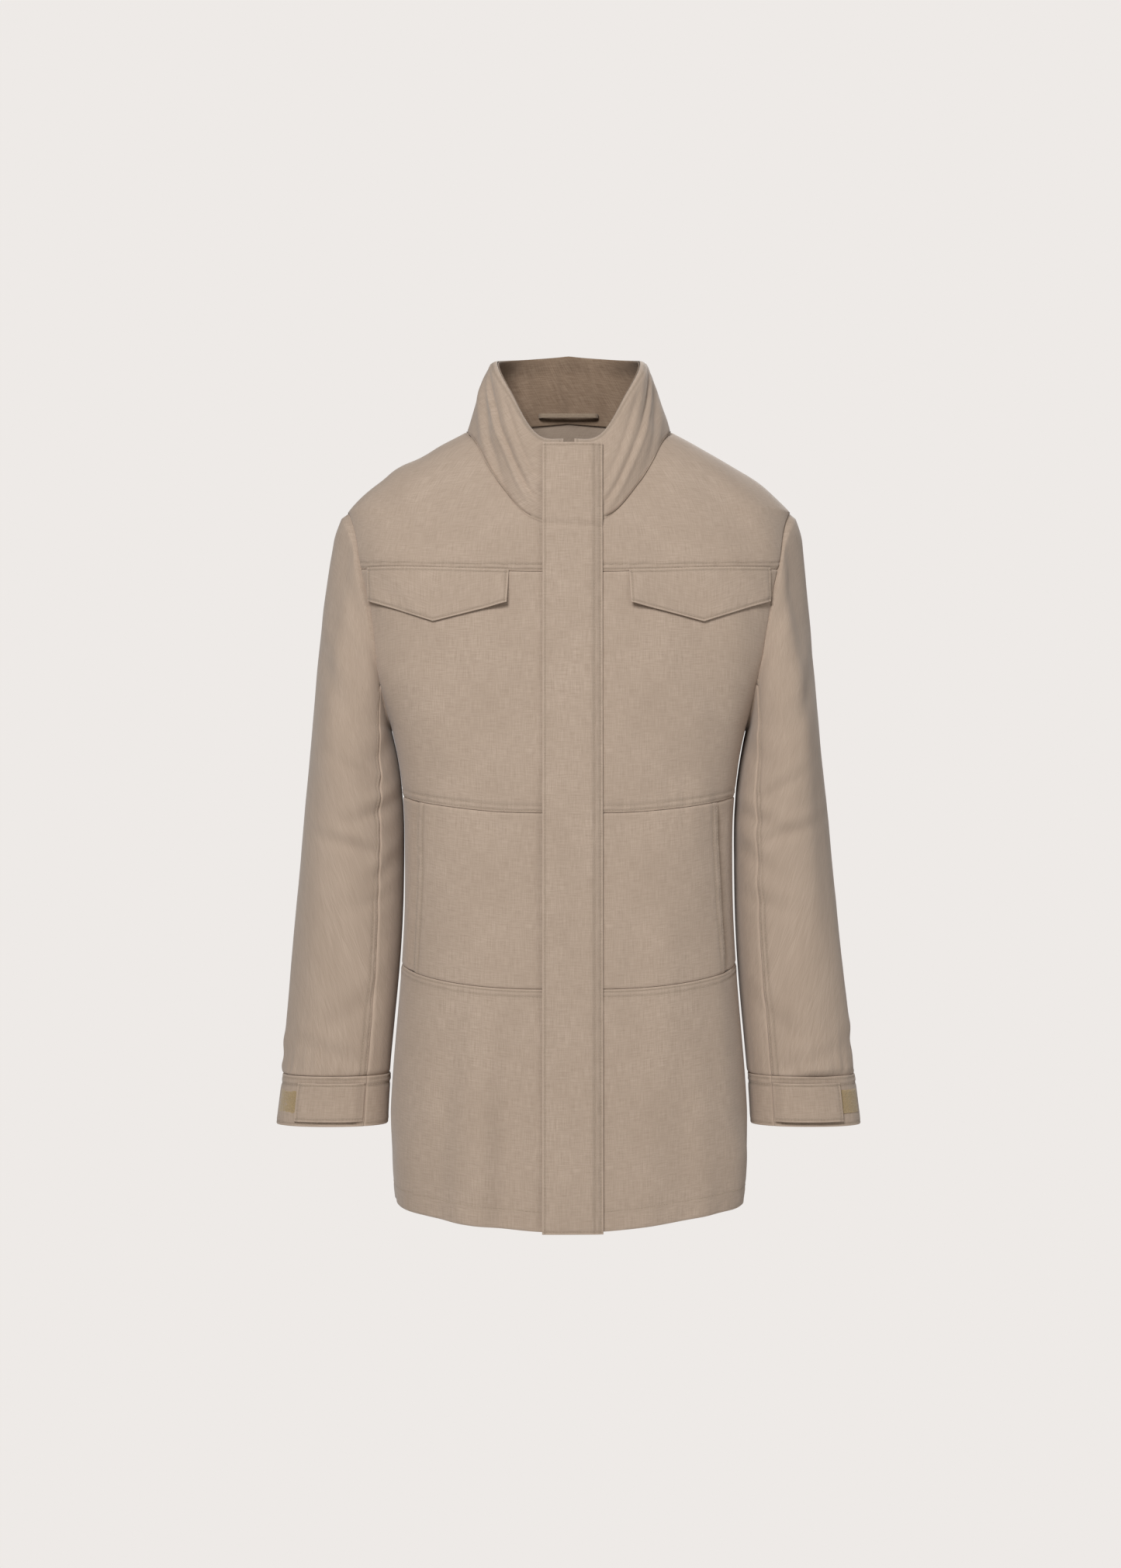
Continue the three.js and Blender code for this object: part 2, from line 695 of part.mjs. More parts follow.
// ---------------------------------------------------------------- pockets
// A body through a row of closed loops of points, with a fan over each end.
function loft(loops) {
  const size = loops[0].length;
  const points = loops.flat();
  const index = [];
  for (let ring = 0; ring + 1 < loops.length; ring += 1) {
    for (let i = 0; i < size; i += 1) {
      const a = ring * size + i;
      const b = ring * size + ((i + 1) % size);
      index.push(a, b, b + size, a, b + size, a + size);
    }
  }
  const cap = (ring, order) => {
    for (let i = 1; i + 1 < size; i += 1) {
      const [p, q] = order ? [i + 1, i] : [i, i + 1];
      index.push(ring * size, ring * size + p, ring * size + q);
    }
  };
  cap(0, true);
  cap(loops.length - 1, false);
  const geometry = new THREE.BufferGeometry();
  geometry.setAttribute("position", new THREE.Float32BufferAttribute(points.flatMap((p) => p.toArray()), 3));
  geometry.setIndex(index);
  const volume = solid(geometry).volume();
  if (volume < 0) geometry.setIndex(index.reverse());
  geometry.computeVertexNormals();
  return geometry;
}

const bagFace = underShell + 1.3;

// A flat bag open at one end. point(t, w, d) gives a point from mouth (t = 0) to bottom, across, and depth.
function bag(point, width, deep, wall) {
  const columns = 6;
  const rows = 6;
  const loop = (t, inset) => {
    const w = inset / width;
    const front = [];
    const back = [];
    for (let i = 0; i <= columns; i += 1) {
      const s = lerp(w, 1 - w, i / columns);
      front.push(point(t, s, bagFace + inset));
      back.unshift(point(t, s, deep - inset));
    }
    return [...front, ...back];
  };
  const outer = [];
  const inner = [];
  for (let i = 0; i <= rows; i += 1) {
    outer.push(loop(i / rows, 0));
    inner.unshift(loop((i / rows) * 0.985, wall));
  }
  return loft([...inner, ...outer]);
}

const inward = (place, u, v, depth) => {
  const step = 1e-3;
  const du = place(u + step, v).sub(place(u - step, v));
  const dv = place(u, v + step).sub(place(u, v - step));
  return place(u, v).addScaledVector(du.cross(dv).normalize(), -depth);
};
const handMouth = pocketLine - handMouthSetback;
const handLow = -lowerSeamDrop + handAboveSeam;
const handHigh = -waistDrop - handBelowWaist;
addPair(
  "hand_pocket_bag",
  () => {
    const at = (t, w, d) => inward(body, lerp(handMouth, handBottom, t), lerp(handLow, handHigh, w), d);
    return bag(at, handHigh - handLow, bagFace + handBagDepth, bagWall);
  },
  materials.pocketing,
);
addPair(
  "chest_pocket_bag",
  () => {
    const from = mouthFrom - 1;
    const to = mouthTo + 1;
    const top = -yokeDrop - mouthHeight;
    const at = (t, w, d) => inward(body, lerp(from, to, w), lerp(top, top - chestPocketDepth, t), d);
    return bag(at, chestBagWidth, bagFace + chestBagDepth, bagWall);
  },
  materials.pocketing,
);

// ---------------------------------------------------------------- front closure
// Inside this group +Z runs up the centre front and -Y points straight out of the cloth.
const front = new THREE.Group();
front.position.set(0, -collarFront, -collarFrontDrop);
front.rotation.x = -Math.atan(frontLean);
group.add(front);
const frontLength = (bodyLength + frontHemDip - collarFrontDrop) * Math.hypot(1, frontLean);
const zipTop = -zipBelowRim;
const zipBottom = -frontLength + zipAboveHem;

// A box from its lowest corner to its highest; depth counts outwards from the cloth's face.
function slab(x0, x1, d0, d1, z0, z1) {
  const geometry = new THREE.BoxGeometry(x1 - x0, d1 - d0, z1 - z0);
  return geometry.translate((x0 + x1) / 2, -(d0 + d1) / 2, (z0 + z1) / 2);
}

const teethFace = -teethDepth;
const teethBack = -teethDepth - teethThick;
for (const hand of [1, -1]) {
  const name = hand > 0 ? "left" : "right";
  const strip = (inner, outer, d0, d1, z0, z1) => {
    const [a, b] = hand > 0 ? [inner, outer] : [-outer, -inner];
    return slab(a, b, d0, d1, z0, z1);
  };
  const teeth = strip(teethIn, teethOut, teethBack, teethFace, zipBottom, zipTop);
  add(front, name + "_zip_teeth", teeth, materials.metal);
  const tapeFace = -tapeDepth;
  const tape = strip(teethOut + seamGap, tapeOut, tapeFace - tapeThick, tapeFace, zipBottom - 4, zipTop + 2);
  add(front, name + "_zip_tape", tape, materials.tape);
}
const bottomBox = slab(-3.4, 3.4, teethBack, teethFace, zipBottom - 9, zipBottom - seamGap);
add(front, "zip_bottom_box", bottomBox, materials.metal);
const topStop = slab(-3.4, 3.4, teethBack, teethFace, zipTop + seamGap, zipTop + 3);
add(front, "zip_top_stop", topStop, materials.metal);

// Zip slider: two plates joined by a web between the rows of teeth, and a headed post for the pull.
const sliderTop = zipTop - 2;
const sliderMid = sliderTop - sliderLength / 2;
const faceIn = teethFace + sliderClear;
const faceOut = faceIn + sliderPlate;
const backIn = teethBack - sliderClear;
const backOut = backIn - sliderPlate;
const webHalf = teethIn - sliderClear;
const headLow = faceOut + pullThick + 2 * seamGap + 0.2;
const headHigh = headLow + lugHeadThick;
const outwards = (geometry, low, high) => geometry.translate(0, -(low + high) / 2, sliderMid);
const postSolid = new THREE.CylinderGeometry(lugRadius, lugRadius, headLow - faceOut + 0.4, 20);
const post = outwards(postSolid, faceOut - 0.2, headLow + 0.2);
const headSolid = new THREE.CylinderGeometry(lugHeadRadius, lugHeadRadius, lugHeadThick, 20);
const head = outwards(headSolid, headLow, headHigh);
const sliderLow = sliderTop - sliderLength;
const sliderBody = solid(slab(-sliderHalf, sliderHalf, faceIn, faceOut, sliderLow, sliderTop))
  .add(solid(slab(-sliderHalf, sliderHalf, backOut, backIn, sliderLow, sliderTop)))
  .add(solid(slab(-webHalf, webHalf, backIn - 0.2, faceIn + 0.2, sliderLow + 3, sliderTop - 3)))
  .add(solid(post))
  .add(solid(head));
add(front, "zip_slider", geometryOf(sliderBody), materials.metal);

// Zip pull: a flat tongue that swings on the post in the plane of the cloth, under the storm flap.
const pullLow = faceOut + seamGap;
const pullHigh = pullLow + pullThick;
const pullHole = lugRadius + seamGap;
const pullLayer = (geometry) => outwards(geometry, pullLow, pullHigh);
const pullEnd = sliderMid - pullLength + pullHalf;
const pullBody = solid(slab(-pullHalf, pullHalf, pullLow, pullHigh, pullEnd, sliderMid))
  .add(solid(pullLayer(new THREE.CylinderGeometry(pullHalf, pullHalf, pullThick, 24))))
  .subtract(solid(pullLayer(new THREE.CylinderGeometry(pullHole, pullHole, pullThick + 1, 24))));
add(front, "zip_pull", geometryOf(pullBody), materials.metal);

// Storm flap over the zip, sewn down its left edge onto a folded seam allowance.
const flapFree = flapHalf - 2.5;
const flapSewn = flapHalf + 5;
add(
  front,
  "storm_flap",
  slab(-flapFree, flapSewn, flapStand, flapStand + flapThick, -frontLength + 3, -0.5),
  materials.shell,
);
const welt = slab(flapSewn - 6, flapSewn, seamGap, flapStand - seamGap, -frontLength + 3, -neckDrop + 10);
add(front, "storm_flap_welt", welt, materials.shell);

// Zip guard behind the zip, sewn to the left front facing.
const guardLength = frontLength - 6;
const guardPlate = slab(-guardHalf, guardHalf + 2, -guardDepth - guardThick, -guardDepth, -guardLength, -3);
const guardRoot = slab(
  guardHalf - 4,
  guardHalf + 2,
  -guardDepth - 0.2,
  -underShell - skin - 0.8,
  -frontLength + hemFold + 6,
  -neckDrop - 5 + collarFrontDrop,
);
add(front, "zip_guard", geometryOf(solid(guardPlate).add(solid(guardRoot))), materials.facing);

// ---------------------------------------------------------------- hanger loop
// A flat rouleau across the back neck, stitched at both ends to the collar's facing.
const loopBase = backNeckRise + 3;
const loopFoot = (x) => {
  const angle = 180 - deg(Math.atan2(x, backNeckDepth));
  const height = (loopBase + loopTall / 2 - backNeckRise) / collarBackHeight;
  return inward(collar, angle, height, collarIn + collarFacing + 2 * seamGap);
};
const footY = loopFoot(loopHalf - loopTape / 2).y;
const loopInner = loopHalf - loopTape;
const tapeFront = footY - loopStand;
const loopShape = new THREE.Shape();
loopShape.moveTo(-loopHalf, footY);
loopShape.lineTo(-loopHalf, tapeFront);
loopShape.lineTo(loopHalf, tapeFront);
loopShape.lineTo(loopHalf, footY);
loopShape.lineTo(loopInner, footY);
loopShape.lineTo(loopInner, tapeFront + loopTape);
loopShape.lineTo(-loopInner, tapeFront + loopTape);
loopShape.lineTo(-loopInner, footY);
loopShape.closePath();
const loopTapeSolid = new THREE.ExtrudeGeometry(loopShape, { depth: loopTall, bevelEnabled: false });
loopTapeSolid.translate(0, 0, loopBase);
add(group, "hanger_loop", loopTapeSolid, materials.tape);

// The origin is the middle of the hanger loop's underside.
const loopMiddleY = tapeFront + loopTape / 2;
group.position.set(0, -loopMiddleY, -loopBase);
group.updateMatrixWorld(true);

export default group;
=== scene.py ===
"""A stone-coloured cloth field jacket, shown filled out as it is worn, built over its working frame."""

import math

import bpy
import numpy as np

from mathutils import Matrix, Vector


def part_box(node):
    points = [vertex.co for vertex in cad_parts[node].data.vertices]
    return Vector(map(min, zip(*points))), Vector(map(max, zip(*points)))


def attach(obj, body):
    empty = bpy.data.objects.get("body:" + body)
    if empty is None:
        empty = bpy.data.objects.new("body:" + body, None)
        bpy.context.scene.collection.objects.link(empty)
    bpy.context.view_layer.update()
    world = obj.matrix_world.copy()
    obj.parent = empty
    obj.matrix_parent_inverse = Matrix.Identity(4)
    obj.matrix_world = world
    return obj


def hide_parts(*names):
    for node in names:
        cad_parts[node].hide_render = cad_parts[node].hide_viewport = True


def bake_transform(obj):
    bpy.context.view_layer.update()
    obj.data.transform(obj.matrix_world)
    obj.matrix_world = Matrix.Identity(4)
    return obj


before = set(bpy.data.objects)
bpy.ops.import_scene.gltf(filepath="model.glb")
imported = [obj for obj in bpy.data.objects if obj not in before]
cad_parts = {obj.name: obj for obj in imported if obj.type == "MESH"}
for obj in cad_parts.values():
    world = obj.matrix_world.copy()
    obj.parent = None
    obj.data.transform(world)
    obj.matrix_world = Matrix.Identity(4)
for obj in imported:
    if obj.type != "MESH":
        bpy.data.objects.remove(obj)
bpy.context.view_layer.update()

# ---------------------------------------------------------------- body panels
# Yokes, chest, pocket, side and lower fronts, and a back in three bands: stone-coloured cloth, cut flat,
# seamed edge to edge, pressed one way and topstitched twice beside each seam. Sewn up, they fill a torso's
# form, which comes first here, as rings from hem to neck, followed by the sewing, the cloth and then the
# panels.
#
# Angles go round the body from the centre front (90 at the left side seam, 180 at the back). Lengths are
# millimetres, and heights are drops below the point where the shoulder meets the neck.
MM = 0.001
BODY_LENGTH = 803
FRONT_DIP = 20
NECK_DROP, BACK_NECK_RISE = 105, 17
SHOULDER_DROP, YOKE_DROP, ARMPIT_DROP, WAIST_DROP, LOWER_DROP = 86, 155, 312, 402, 580
WAIST_TAPER, HIP_ABOVE_HEM, HEM_TUCK = 128, 62, 5
NECK_HALF, SHOULDER_HALF, ARMPIT_HALF, WAIST_HALF, HIP_HALF = 105, 235.5, 187, 172, 188
COLLAR_FRONT, COLLAR_FRONT_DROP, FRONT_LEAN = 85, 22, 0.0828
NECK_SIDE_DEPTH, BACK_NECK_DEPTH = 34, 60
YOKE_RISE, WAIST_RISE, LOWER_RISE = 6, 17, 21
BLADE_DROP, BLADE_DEPTH, BACK_TIP_DEPTH, BACK_SIDE_DEPTH = 207, 113, 100, 66
BACK_WAIST_DEPTH, BACK_HEM_DEPTH = 100, 118
HEM_Z, TIP_Z, ARMPIT_Z = -BODY_LENGTH, -SHOULDER_DROP, -ARMPIT_DROP
LOOP_ABOVE_SEAM = 3
# The frame's origin is under the hanger loop, above the back neck seam and behind the side seams.
SHIFT = np.array([0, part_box("left_front_yoke")[1][1] / MM, -BACK_NECK_RISE - LOOP_ABOVE_SEAM])


def lerp(a, b, t):
    return a + (b - a) * t


def smooth(t):
    t = np.clip(t, 0, 1)
    return t * t * (3 - 2 * t)


def through(stations):
    """A smooth curve of value against position through a short list of (position, value) stations."""
    x, y = np.array(stations, float).T
    ends = np.r_[0, np.arange(len(x) - 1)], np.r_[np.arange(1, len(x)), len(x) - 1]
    slope = (y[ends[1]] - y[ends[0]]) / (x[ends[1]] - x[ends[0]])

    def curve(at):
        at = np.asarray(at, float)
        i = np.clip(np.searchsorted(x, at, side="right") - 1, 0, len(x) - 2)
        h = x[i + 1] - x[i]
        t = np.clip((at - x[i]) / h, 0, 1)
        a = 2 * t**3 - 3 * t**2 + 1
        rise = (t**3 - 2 * t**2 + t) * slope[i] + (t**3 - t**2) * slope[i + 1]
        return a * y[i] + (1 - a) * y[i + 1] + h * rise

    return curve


def half_width(z):
    z = np.asarray(z, float)
    hip, narrow = HEM_Z + HIP_ABOVE_HEM, ARMPIT_Z - WAIST_TAPER
    neck = NECK_HALF * (1 - 0.1 * (z / BACK_NECK_RISE) ** 2)
    s = z / TIP_Z
    shoulder = NECK_HALF + (SHOULDER_HALF - NECK_HALF) * (0.55 * s + 0.45 * np.sin(s * np.pi / 2))
    q = np.clip((z - ARMPIT_Z) / (TIP_Z - ARMPIT_Z), 0, 1)
    arm = ARMPIT_HALF + (SHOULDER_HALF - ARMPIT_HALF) * np.sin(q * np.pi / 2)
    taper = np.clip((z - narrow) / WAIST_TAPER, 0, 1)
    chest = WAIST_HALF + (ARMPIT_HALF - WAIST_HALF) * taper**2.2
    waist = WAIST_HALF + (HIP_HALF - WAIST_HALF) * smooth((narrow - z) / (narrow - hip)) ** 1.4
    skirt = HIP_HALF - HEM_TUCK * np.minimum(1.3, np.maximum(hip - z, 0) / HIP_ABOVE_HEM) ** 2
    return np.select(
        [z > 0, z > TIP_Z, z > ARMPIT_Z, z > narrow, z > hip], [neck, shoulder, arm, chest, waist], skirt
    )


def front_line(z):
    return COLLAR_FRONT + FRONT_LEAN * (-COLLAR_FRONT_DROP - np.asarray(z, float))


def front_depth(z):
    s = np.maximum(0, -np.asarray(z, float) / NECK_DROP)
    deep = front_line(-NECK_DROP)
    return np.where(s > 1, front_line(z), NECK_SIDE_DEPTH + (deep - NECK_SIDE_DEPTH) * s**0.6)


back_depth = through([
    (HEM_Z - FRONT_DIP, BACK_HEM_DEPTH), (-WAIST_DROP, BACK_WAIST_DEPTH), (-BLADE_DROP, BLADE_DEPTH),
    (TIP_Z, BACK_TIP_DEPTH), (0, BACK_SIDE_DEPTH), (BACK_NECK_RISE, BACK_NECK_DEPTH),
])


def squareness(z):
    return lerp(2.9, 2.3, smooth((np.asarray(z, float) + YOKE_DROP) / (YOKE_DROP - SHOULDER_DROP)))


def body(angle, z):
    a = np.radians(angle)
    s, c = np.sin(a), np.cos(a)
    p = squareness(z)
    depth = np.where(c > 0, front_depth(z), back_depth(z))
    r = ((np.abs(s) / half_width(z)) ** p + (np.abs(c) / depth) ** p) ** (-1 / p)
    return np.stack([r * s, -r * c, np.broadcast_to(z, r.shape)], -1)


def side_x(y, z):
    p = squareness(z)
    depth = np.where(y < 0, front_depth(z), back_depth(z))
    return half_width(z) * (1 - np.minimum(1, np.abs(y) / depth) ** p) ** (1 / p)


def angle_at(x, z):
    return np.degrees(np.arctan2(x, front_line(z)))


def rise(angle):
    """How far round to the side an angle is: a seam climbs by this share of its rise."""
    return np.sin(np.radians(angle)) ** 4


def yoke_seam(angle):
    return -YOKE_DROP + YOKE_RISE * rise(angle)


def waist_seam(angle):
    return -WAIST_DROP + WAIST_RISE * rise(angle)


def lower_seam(angle):
    return -LOWER_DROP + LOWER_RISE * rise(angle)


def hem_line(angle):
    return HEM_Z - FRONT_DIP * np.cos(np.radians(angle)) ** 2


neck_stations = through([
    (0, -NECK_DROP), (16, -0.97 * NECK_DROP), (29, -0.87 * NECK_DROP), (43, -0.62 * NECK_DROP),
    (67, -0.16 * NECK_DROP), (90, 0), (135, 0.7 * BACK_NECK_RISE), (180, BACK_NECK_RISE),
])


def neck_seam(angle):
    return neck_stations(np.where(np.asarray(angle) > 180, 360 - np.asarray(angle), angle))


# The armhole is an egg-shaped loop seen from the side.
ARMHOLE_HALF_DEPTH, ARMHOLE_BACK = 66, 12
ARMHOLE_Z, ARMHOLE_HALF_HEIGHT = (TIP_Z + ARMPIT_Z) / 2, (TIP_Z - ARMPIT_Z) / 2


def armhole_angle(z, way):
    reach = np.sqrt(np.maximum(0, 1 - ((z - ARMHOLE_Z) / ARMHOLE_HALF_HEIGHT) ** 2))
    y = ARMHOLE_BACK * reach**2 + way * ARMHOLE_HALF_DEPTH * reach
    return np.degrees(np.arctan2(side_x(y, z), -y))


def front_side(z):
    return np.where((z < ARMPIT_Z) | (z > TIP_Z), 90, np.minimum(90, armhole_angle(z, -1)))


def back_side(z):
    return np.where((z < ARMPIT_Z) | (z > TIP_Z), 90, np.maximum(90, armhole_angle(z, 1)))


# The sewing. A panel is a shell of cloth: an outer and an inner face closed round the edge. Its edges roll
# under into the seams, it dips along each line of topstitching, and it carries the soft folds that cloth
# takes on a body.
HALF_GAP = 0.15
CLOTH = 1.5  # shell cloth, with the allowance behind it
TURN = 2.6  # how far in from an edge the cloth rolls under
GROOVE, GROOVE_HALF = 0.75, 0.95  # the dip along a row of stitches
PUCKER, PUCKER_CELL = 0.45, 7


def patch(bottom, top, start, end):
    """A four-sided patch of the body between boundary curves, each giving (angle, z)."""
    corners = [np.array(f(np.array(t, float))) for f, t in ((bottom, 0), (bottom, 1), (top, 0), (top, 1))]

    def place(u, v):
        b, t, s, e = (np.array(f(x)) for f, x in ((bottom, u), (top, u), (start, v), (end, v)))
        b0, b1, t0, t1 = (c.reshape(2, *([1] * np.ndim(u))) for c in corners)
        mixed = lerp(b, t, v) + lerp(s, e, u) - lerp(lerp(b0, b1, u), lerp(t0, t1, u), v)
        return body(mixed[0], mixed[1])

    return place


def corner(seam, edge, shift):
    z = seam(90)
    for _ in range(5):
        z = seam(edge(z)) + shift
    return float(edge(z)), float(z)


def along_seam(a, b, seam, shift):
    return lambda t: (lerp(a[0], b[0], t), seam(lerp(a[0], b[0], t)) + shift)


def along_edge(a, b, edge):
    return lambda t: (edge(lerp(a[1], b[1], t)), lerp(a[1], b[1], t))


def band(lower, upper, start, end):
    b0, b1 = corner(lower, start, HALF_GAP), corner(lower, end, HALF_GAP)
    t0, t1 = corner(upper, start, -HALF_GAP), corner(upper, end, -HALF_GAP)
    return patch(
        along_seam(b0, b1, lower, HALF_GAP),
        along_seam(t0, t1, upper, -HALF_GAP),
        along_edge(b0, t0, start),
        along_edge(b1, t1, end),
    )


def lattice(p, seed):
    """Smooth value noise from -1 to 1 at points p, one cell to a unit."""
    base = np.floor(p).astype(np.int64)
    f = p - base
    f = f * f * f * (f * (f * 6 - 15) + 10)
    total = np.zeros(p.shape[:-1])
    for corner_index in range(8):
        step = np.array([corner_index & 1, corner_index >> 1 & 1, corner_index >> 2 & 1])
        c = base + step
        h = (c[..., 0] * 73856093) ^ (c[..., 1] * 19349663) ^ (c[..., 2] * 83492791) ^ (seed * 2654435761)
        h = (h ^ (h >> 13)) * 1274126177 & 0xFFFFFFFF
        h = (h ^ (h >> 16)) & 0xFFFF
        weight = np.prod(np.where(step, f, 1 - f), -1)
        total += weight * (h / 32767.5 - 1)
    return total


def drape(p, amount=1.0, seed=3):
    """Soft folds of hanging cloth: long and upright, with finer ripple over them.

    Here and below, a lattice's points are divided by the size of the folds, in millimetres or degrees, and
    the result is multiplied by their depth.
    """
    long_folds = lattice(p / np.array([62, 62, 230]), seed) * 3.2
    medium = lattice(p / np.array([34, 34, 75]) + 7.3, seed + 1) * 0.9
    fine = lattice(p / np.array([13, 13, 17]) + 3.1, seed + 2) * 0.12
    return amount * (long_folds + medium + fine)


def spaced(length, pitch):
    """Places along an edge of that length, closer together near both ends."""
    near = np.array([0, 0.35, 0.8, 1.5, 2.5, 4, 5.5, 7, 9])
    near = near[near <= max(0, length / 2 - pitch)]
    inner = np.linspace(near[-1], length - near[-1], max(2, int((length - 2 * near[-1]) / pitch) + 1))
    return np.concatenate([near[:-1], inner, length - near[-2::-1]]) / length


def normals_of(p):
    du, dv = np.gradient(p, axis=0), np.gradient(p, axis=1)
    n = np.cross(du, dv)
    return n / np.maximum(np.linalg.norm(n, axis=-1, keepdims=True), 1e-9)


def run_lengths(p, axis):
    d = np.linalg.norm(np.diff(p, axis=axis), axis=-1)
    zero = np.zeros_like(np.take(d, [0], axis=axis))
    return np.concatenate([zero, np.cumsum(d, axis=axis)], axis=axis)


class Panel:
    """A grid of cloth, with what sewing needs to know: places, normals and distance from each edge."""

    def __init__(
        self, place, pitch=3.2, folds=None, stitched=None, lift=None, roll=1.5, seed=1, mirror=False
    ):
        probe = place(*np.meshgrid(np.linspace(0, 1, 40), np.linspace(0, 1, 40), indexing="ij"))
        wide = run_lengths(probe, 0)[-1].max()
        tall = run_lengths(probe, 1)[:, -1].max()
        u, v = spaced(wide, pitch), spaced(tall, pitch)
        self.u, self.v = np.meshgrid(u, v, indexing="ij")
        p = place(self.u, self.v)
        n = normals_of(p)
        self.mirror = mirror
        if mirror:
            p, n = p * [-1, 1, 1], n * [-1, 1, 1]
        along, up = run_lengths(p, 0), run_lengths(p, 1)
        self.edges = {"start": along, "end": along[-1:] - along, "foot": up, "head": up[:, -1:] - up}
        self.flat = np.stack([along, up], -1)
        self.stitched = stitched or {}
        h = folds(p) if folds else np.zeros(p.shape[:-1])
        if lift is not None:
            h = h + lift(self.u, self.v, p)
        pucker = lattice(p / PUCKER_CELL, seed)
        for name, distance in self.edges.items():
            h = h - roll * np.clip(1 - distance / TURN, 0, 1) ** 2
            for at in self.stitched.get(name, ()):
                h = h - GROOVE * np.exp(-(((distance - at) / GROOVE_HALF) ** 2))
            if self.stitched.get(name):
                band_in = smooth(distance / 2) * (1 - smooth((distance - max(self.stitched[name])) / 7))
                h = h + PUCKER * pucker * band_in
        self.n = n
        self.p = p + n * h[..., None]


def raw_mesh(name, points, faces, flat, soft=True):
    """A mesh from points and flat cloth places in millimetres, and four-sided faces."""
    mesh = bpy.data.meshes.new(name)
    mesh.vertices.add(len(points))
    mesh.vertices.foreach_set("co", ((points + SHIFT) * MM).astype(np.float32).ravel())
    mesh.loops.add(faces.size)
    mesh.loops.foreach_set("vertex_index", faces.astype(np.int32).ravel())
    mesh.polygons.add(len(faces))
    mesh.polygons.foreach_set("loop_start", np.arange(0, faces.size, 4, dtype=np.int32))
    mesh.polygons.foreach_set("use_smooth", np.full(len(faces), soft))
    uv = mesh.uv_layers.new(name="cloth")
    uv.uv.foreach_set("vector", (flat * MM)[faces.ravel()].astype(np.float32).ravel())
    mesh.update(calc_edges=True)
    mesh.validate()
    obj = bpy.data.objects.new(name, mesh)
    bpy.context.scene.collection.objects.link(obj)
    return obj


def shell_mesh(name, outer, inner, flat, mirror):
    """A closed shell from two matching grids of points, in millimetres, with the cloth's own flat map."""
    nu, nv = outer.shape[:2]
    count = nu * nv
    points = np.concatenate([outer.reshape(-1, 3), inner.reshape(-1, 3)])
    index = np.arange(count).reshape(nu, nv)
    a, b, c, d = (x.ravel() for x in (index[:-1, :-1], index[1:, :-1], index[1:, 1:], index[:-1, 1:]))
    faces = [np.stack([a, b, c, d], -1), np.stack([d, c, b, a], -1) + count]
    rim = np.concatenate([index[:-1, 0], index[-1, :-1], index[:0:-1, -1], index[0, :0:-1]])
    after = np.roll(rim, -1)
    faces.append(np.stack([after, rim, rim + count, after + count], -1))
    faces = np.concatenate(faces)
    if mirror:
        faces = faces[:, ::-1]
    both = np.concatenate([flat.reshape(-1, 2)] * 2)
    return raw_mesh(name, points, faces, both)


def keep_edge_fade_and_groove_shade(obj, edge_fade_and_groove_shade):
    """Keep how worn each point of the cloth is, and the painted shade along its stitch grooves, for its
    material.
    """
    held = obj.data.attributes.new("edge_fade_and_groove_shade", "FLOAT", "POINT")
    held.data.foreach_set("value", edge_fade_and_groove_shade.astype(np.float32).ravel())


def sew(name, panel, thick=CLOTH):
    roll_in = np.minimum.reduce(list(panel.edges.values()))
    depth = thick * (1 - 0.45 * np.clip(1 - roll_in / 1.2, 0, 1))
    obj = shell_mesh(name, panel.p, panel.p - panel.n * depth[..., None], panel.flat, panel.mirror)
    edge_fade_and_groove_shade = np.exp(-((roll_in / 1.5) ** 2))
    # Paler at the worn folded edges. Painted shade: the value goes negative along each row of stitches, which
    # darkens the cloth in its groove.
    for edge, places in panel.stitched.items():
        for at in places:
            edge_fade_and_groove_shade = edge_fade_and_groove_shade - np.exp(-(((panel.edges[edge] - at) / 0.9) ** 2))
    keep_edge_fade_and_groove_shade(obj, np.stack([edge_fade_and_groove_shade, 0 * edge_fade_and_groove_shade]))
    return obj


def stitch_path(panel, edge, at):
    """The line that lies a set distance in from one edge, with the cloth's normals along it."""
    distance = panel.edges[edge]
    upright = edge in ("foot", "head")
    grids = [distance, panel.p, panel.n]
    if not upright:
        grids = [np.swapaxes(g, 0, 1) for g in grids]
    d, p, n = grids
    if edge in ("head", "end"):
        d, p, n = d[:, ::-1], p[:, ::-1], n[:, ::-1]
    out_p, out_n = [], []
    for row in range(d.shape[0]):
        i = int(np.searchsorted(d[row], at))
        if i == 0 or i >= d.shape[1]:
            continue
        t = (at - d[row, i - 1]) / max(d[row, i] - d[row, i - 1], 1e-6)
        out_p.append(lerp(p[row, i - 1], p[row, i], t))
        out_n.append(lerp(n[row, i - 1], n[row, i], t))
    return np.array(out_p), np.array(out_n)


def linear(code):
    """An sRGB hex colour as linear RGBA."""
    parts = [int(code[i : i + 2], 16) / 255 for i in (1, 3, 5)]
    return [c / 12.92 if c <= 0.04045 else ((c + 0.055) / 1.055) ** 2.4 for c in parts] + [1]


def node(tree, kind, links=(), **settings):
    """Add a node, with its settings, and link its inputs from (input, source socket) pairs."""
    made = tree.nodes.new(kind)
    for key, value in settings.items():
        if key.startswith("in_"):
            made.inputs[int(key[3:])].default_value = value
        else:
            setattr(made, key, value)
    for name, source in links:
        tree.links.new(source, made.inputs[name])
    return made


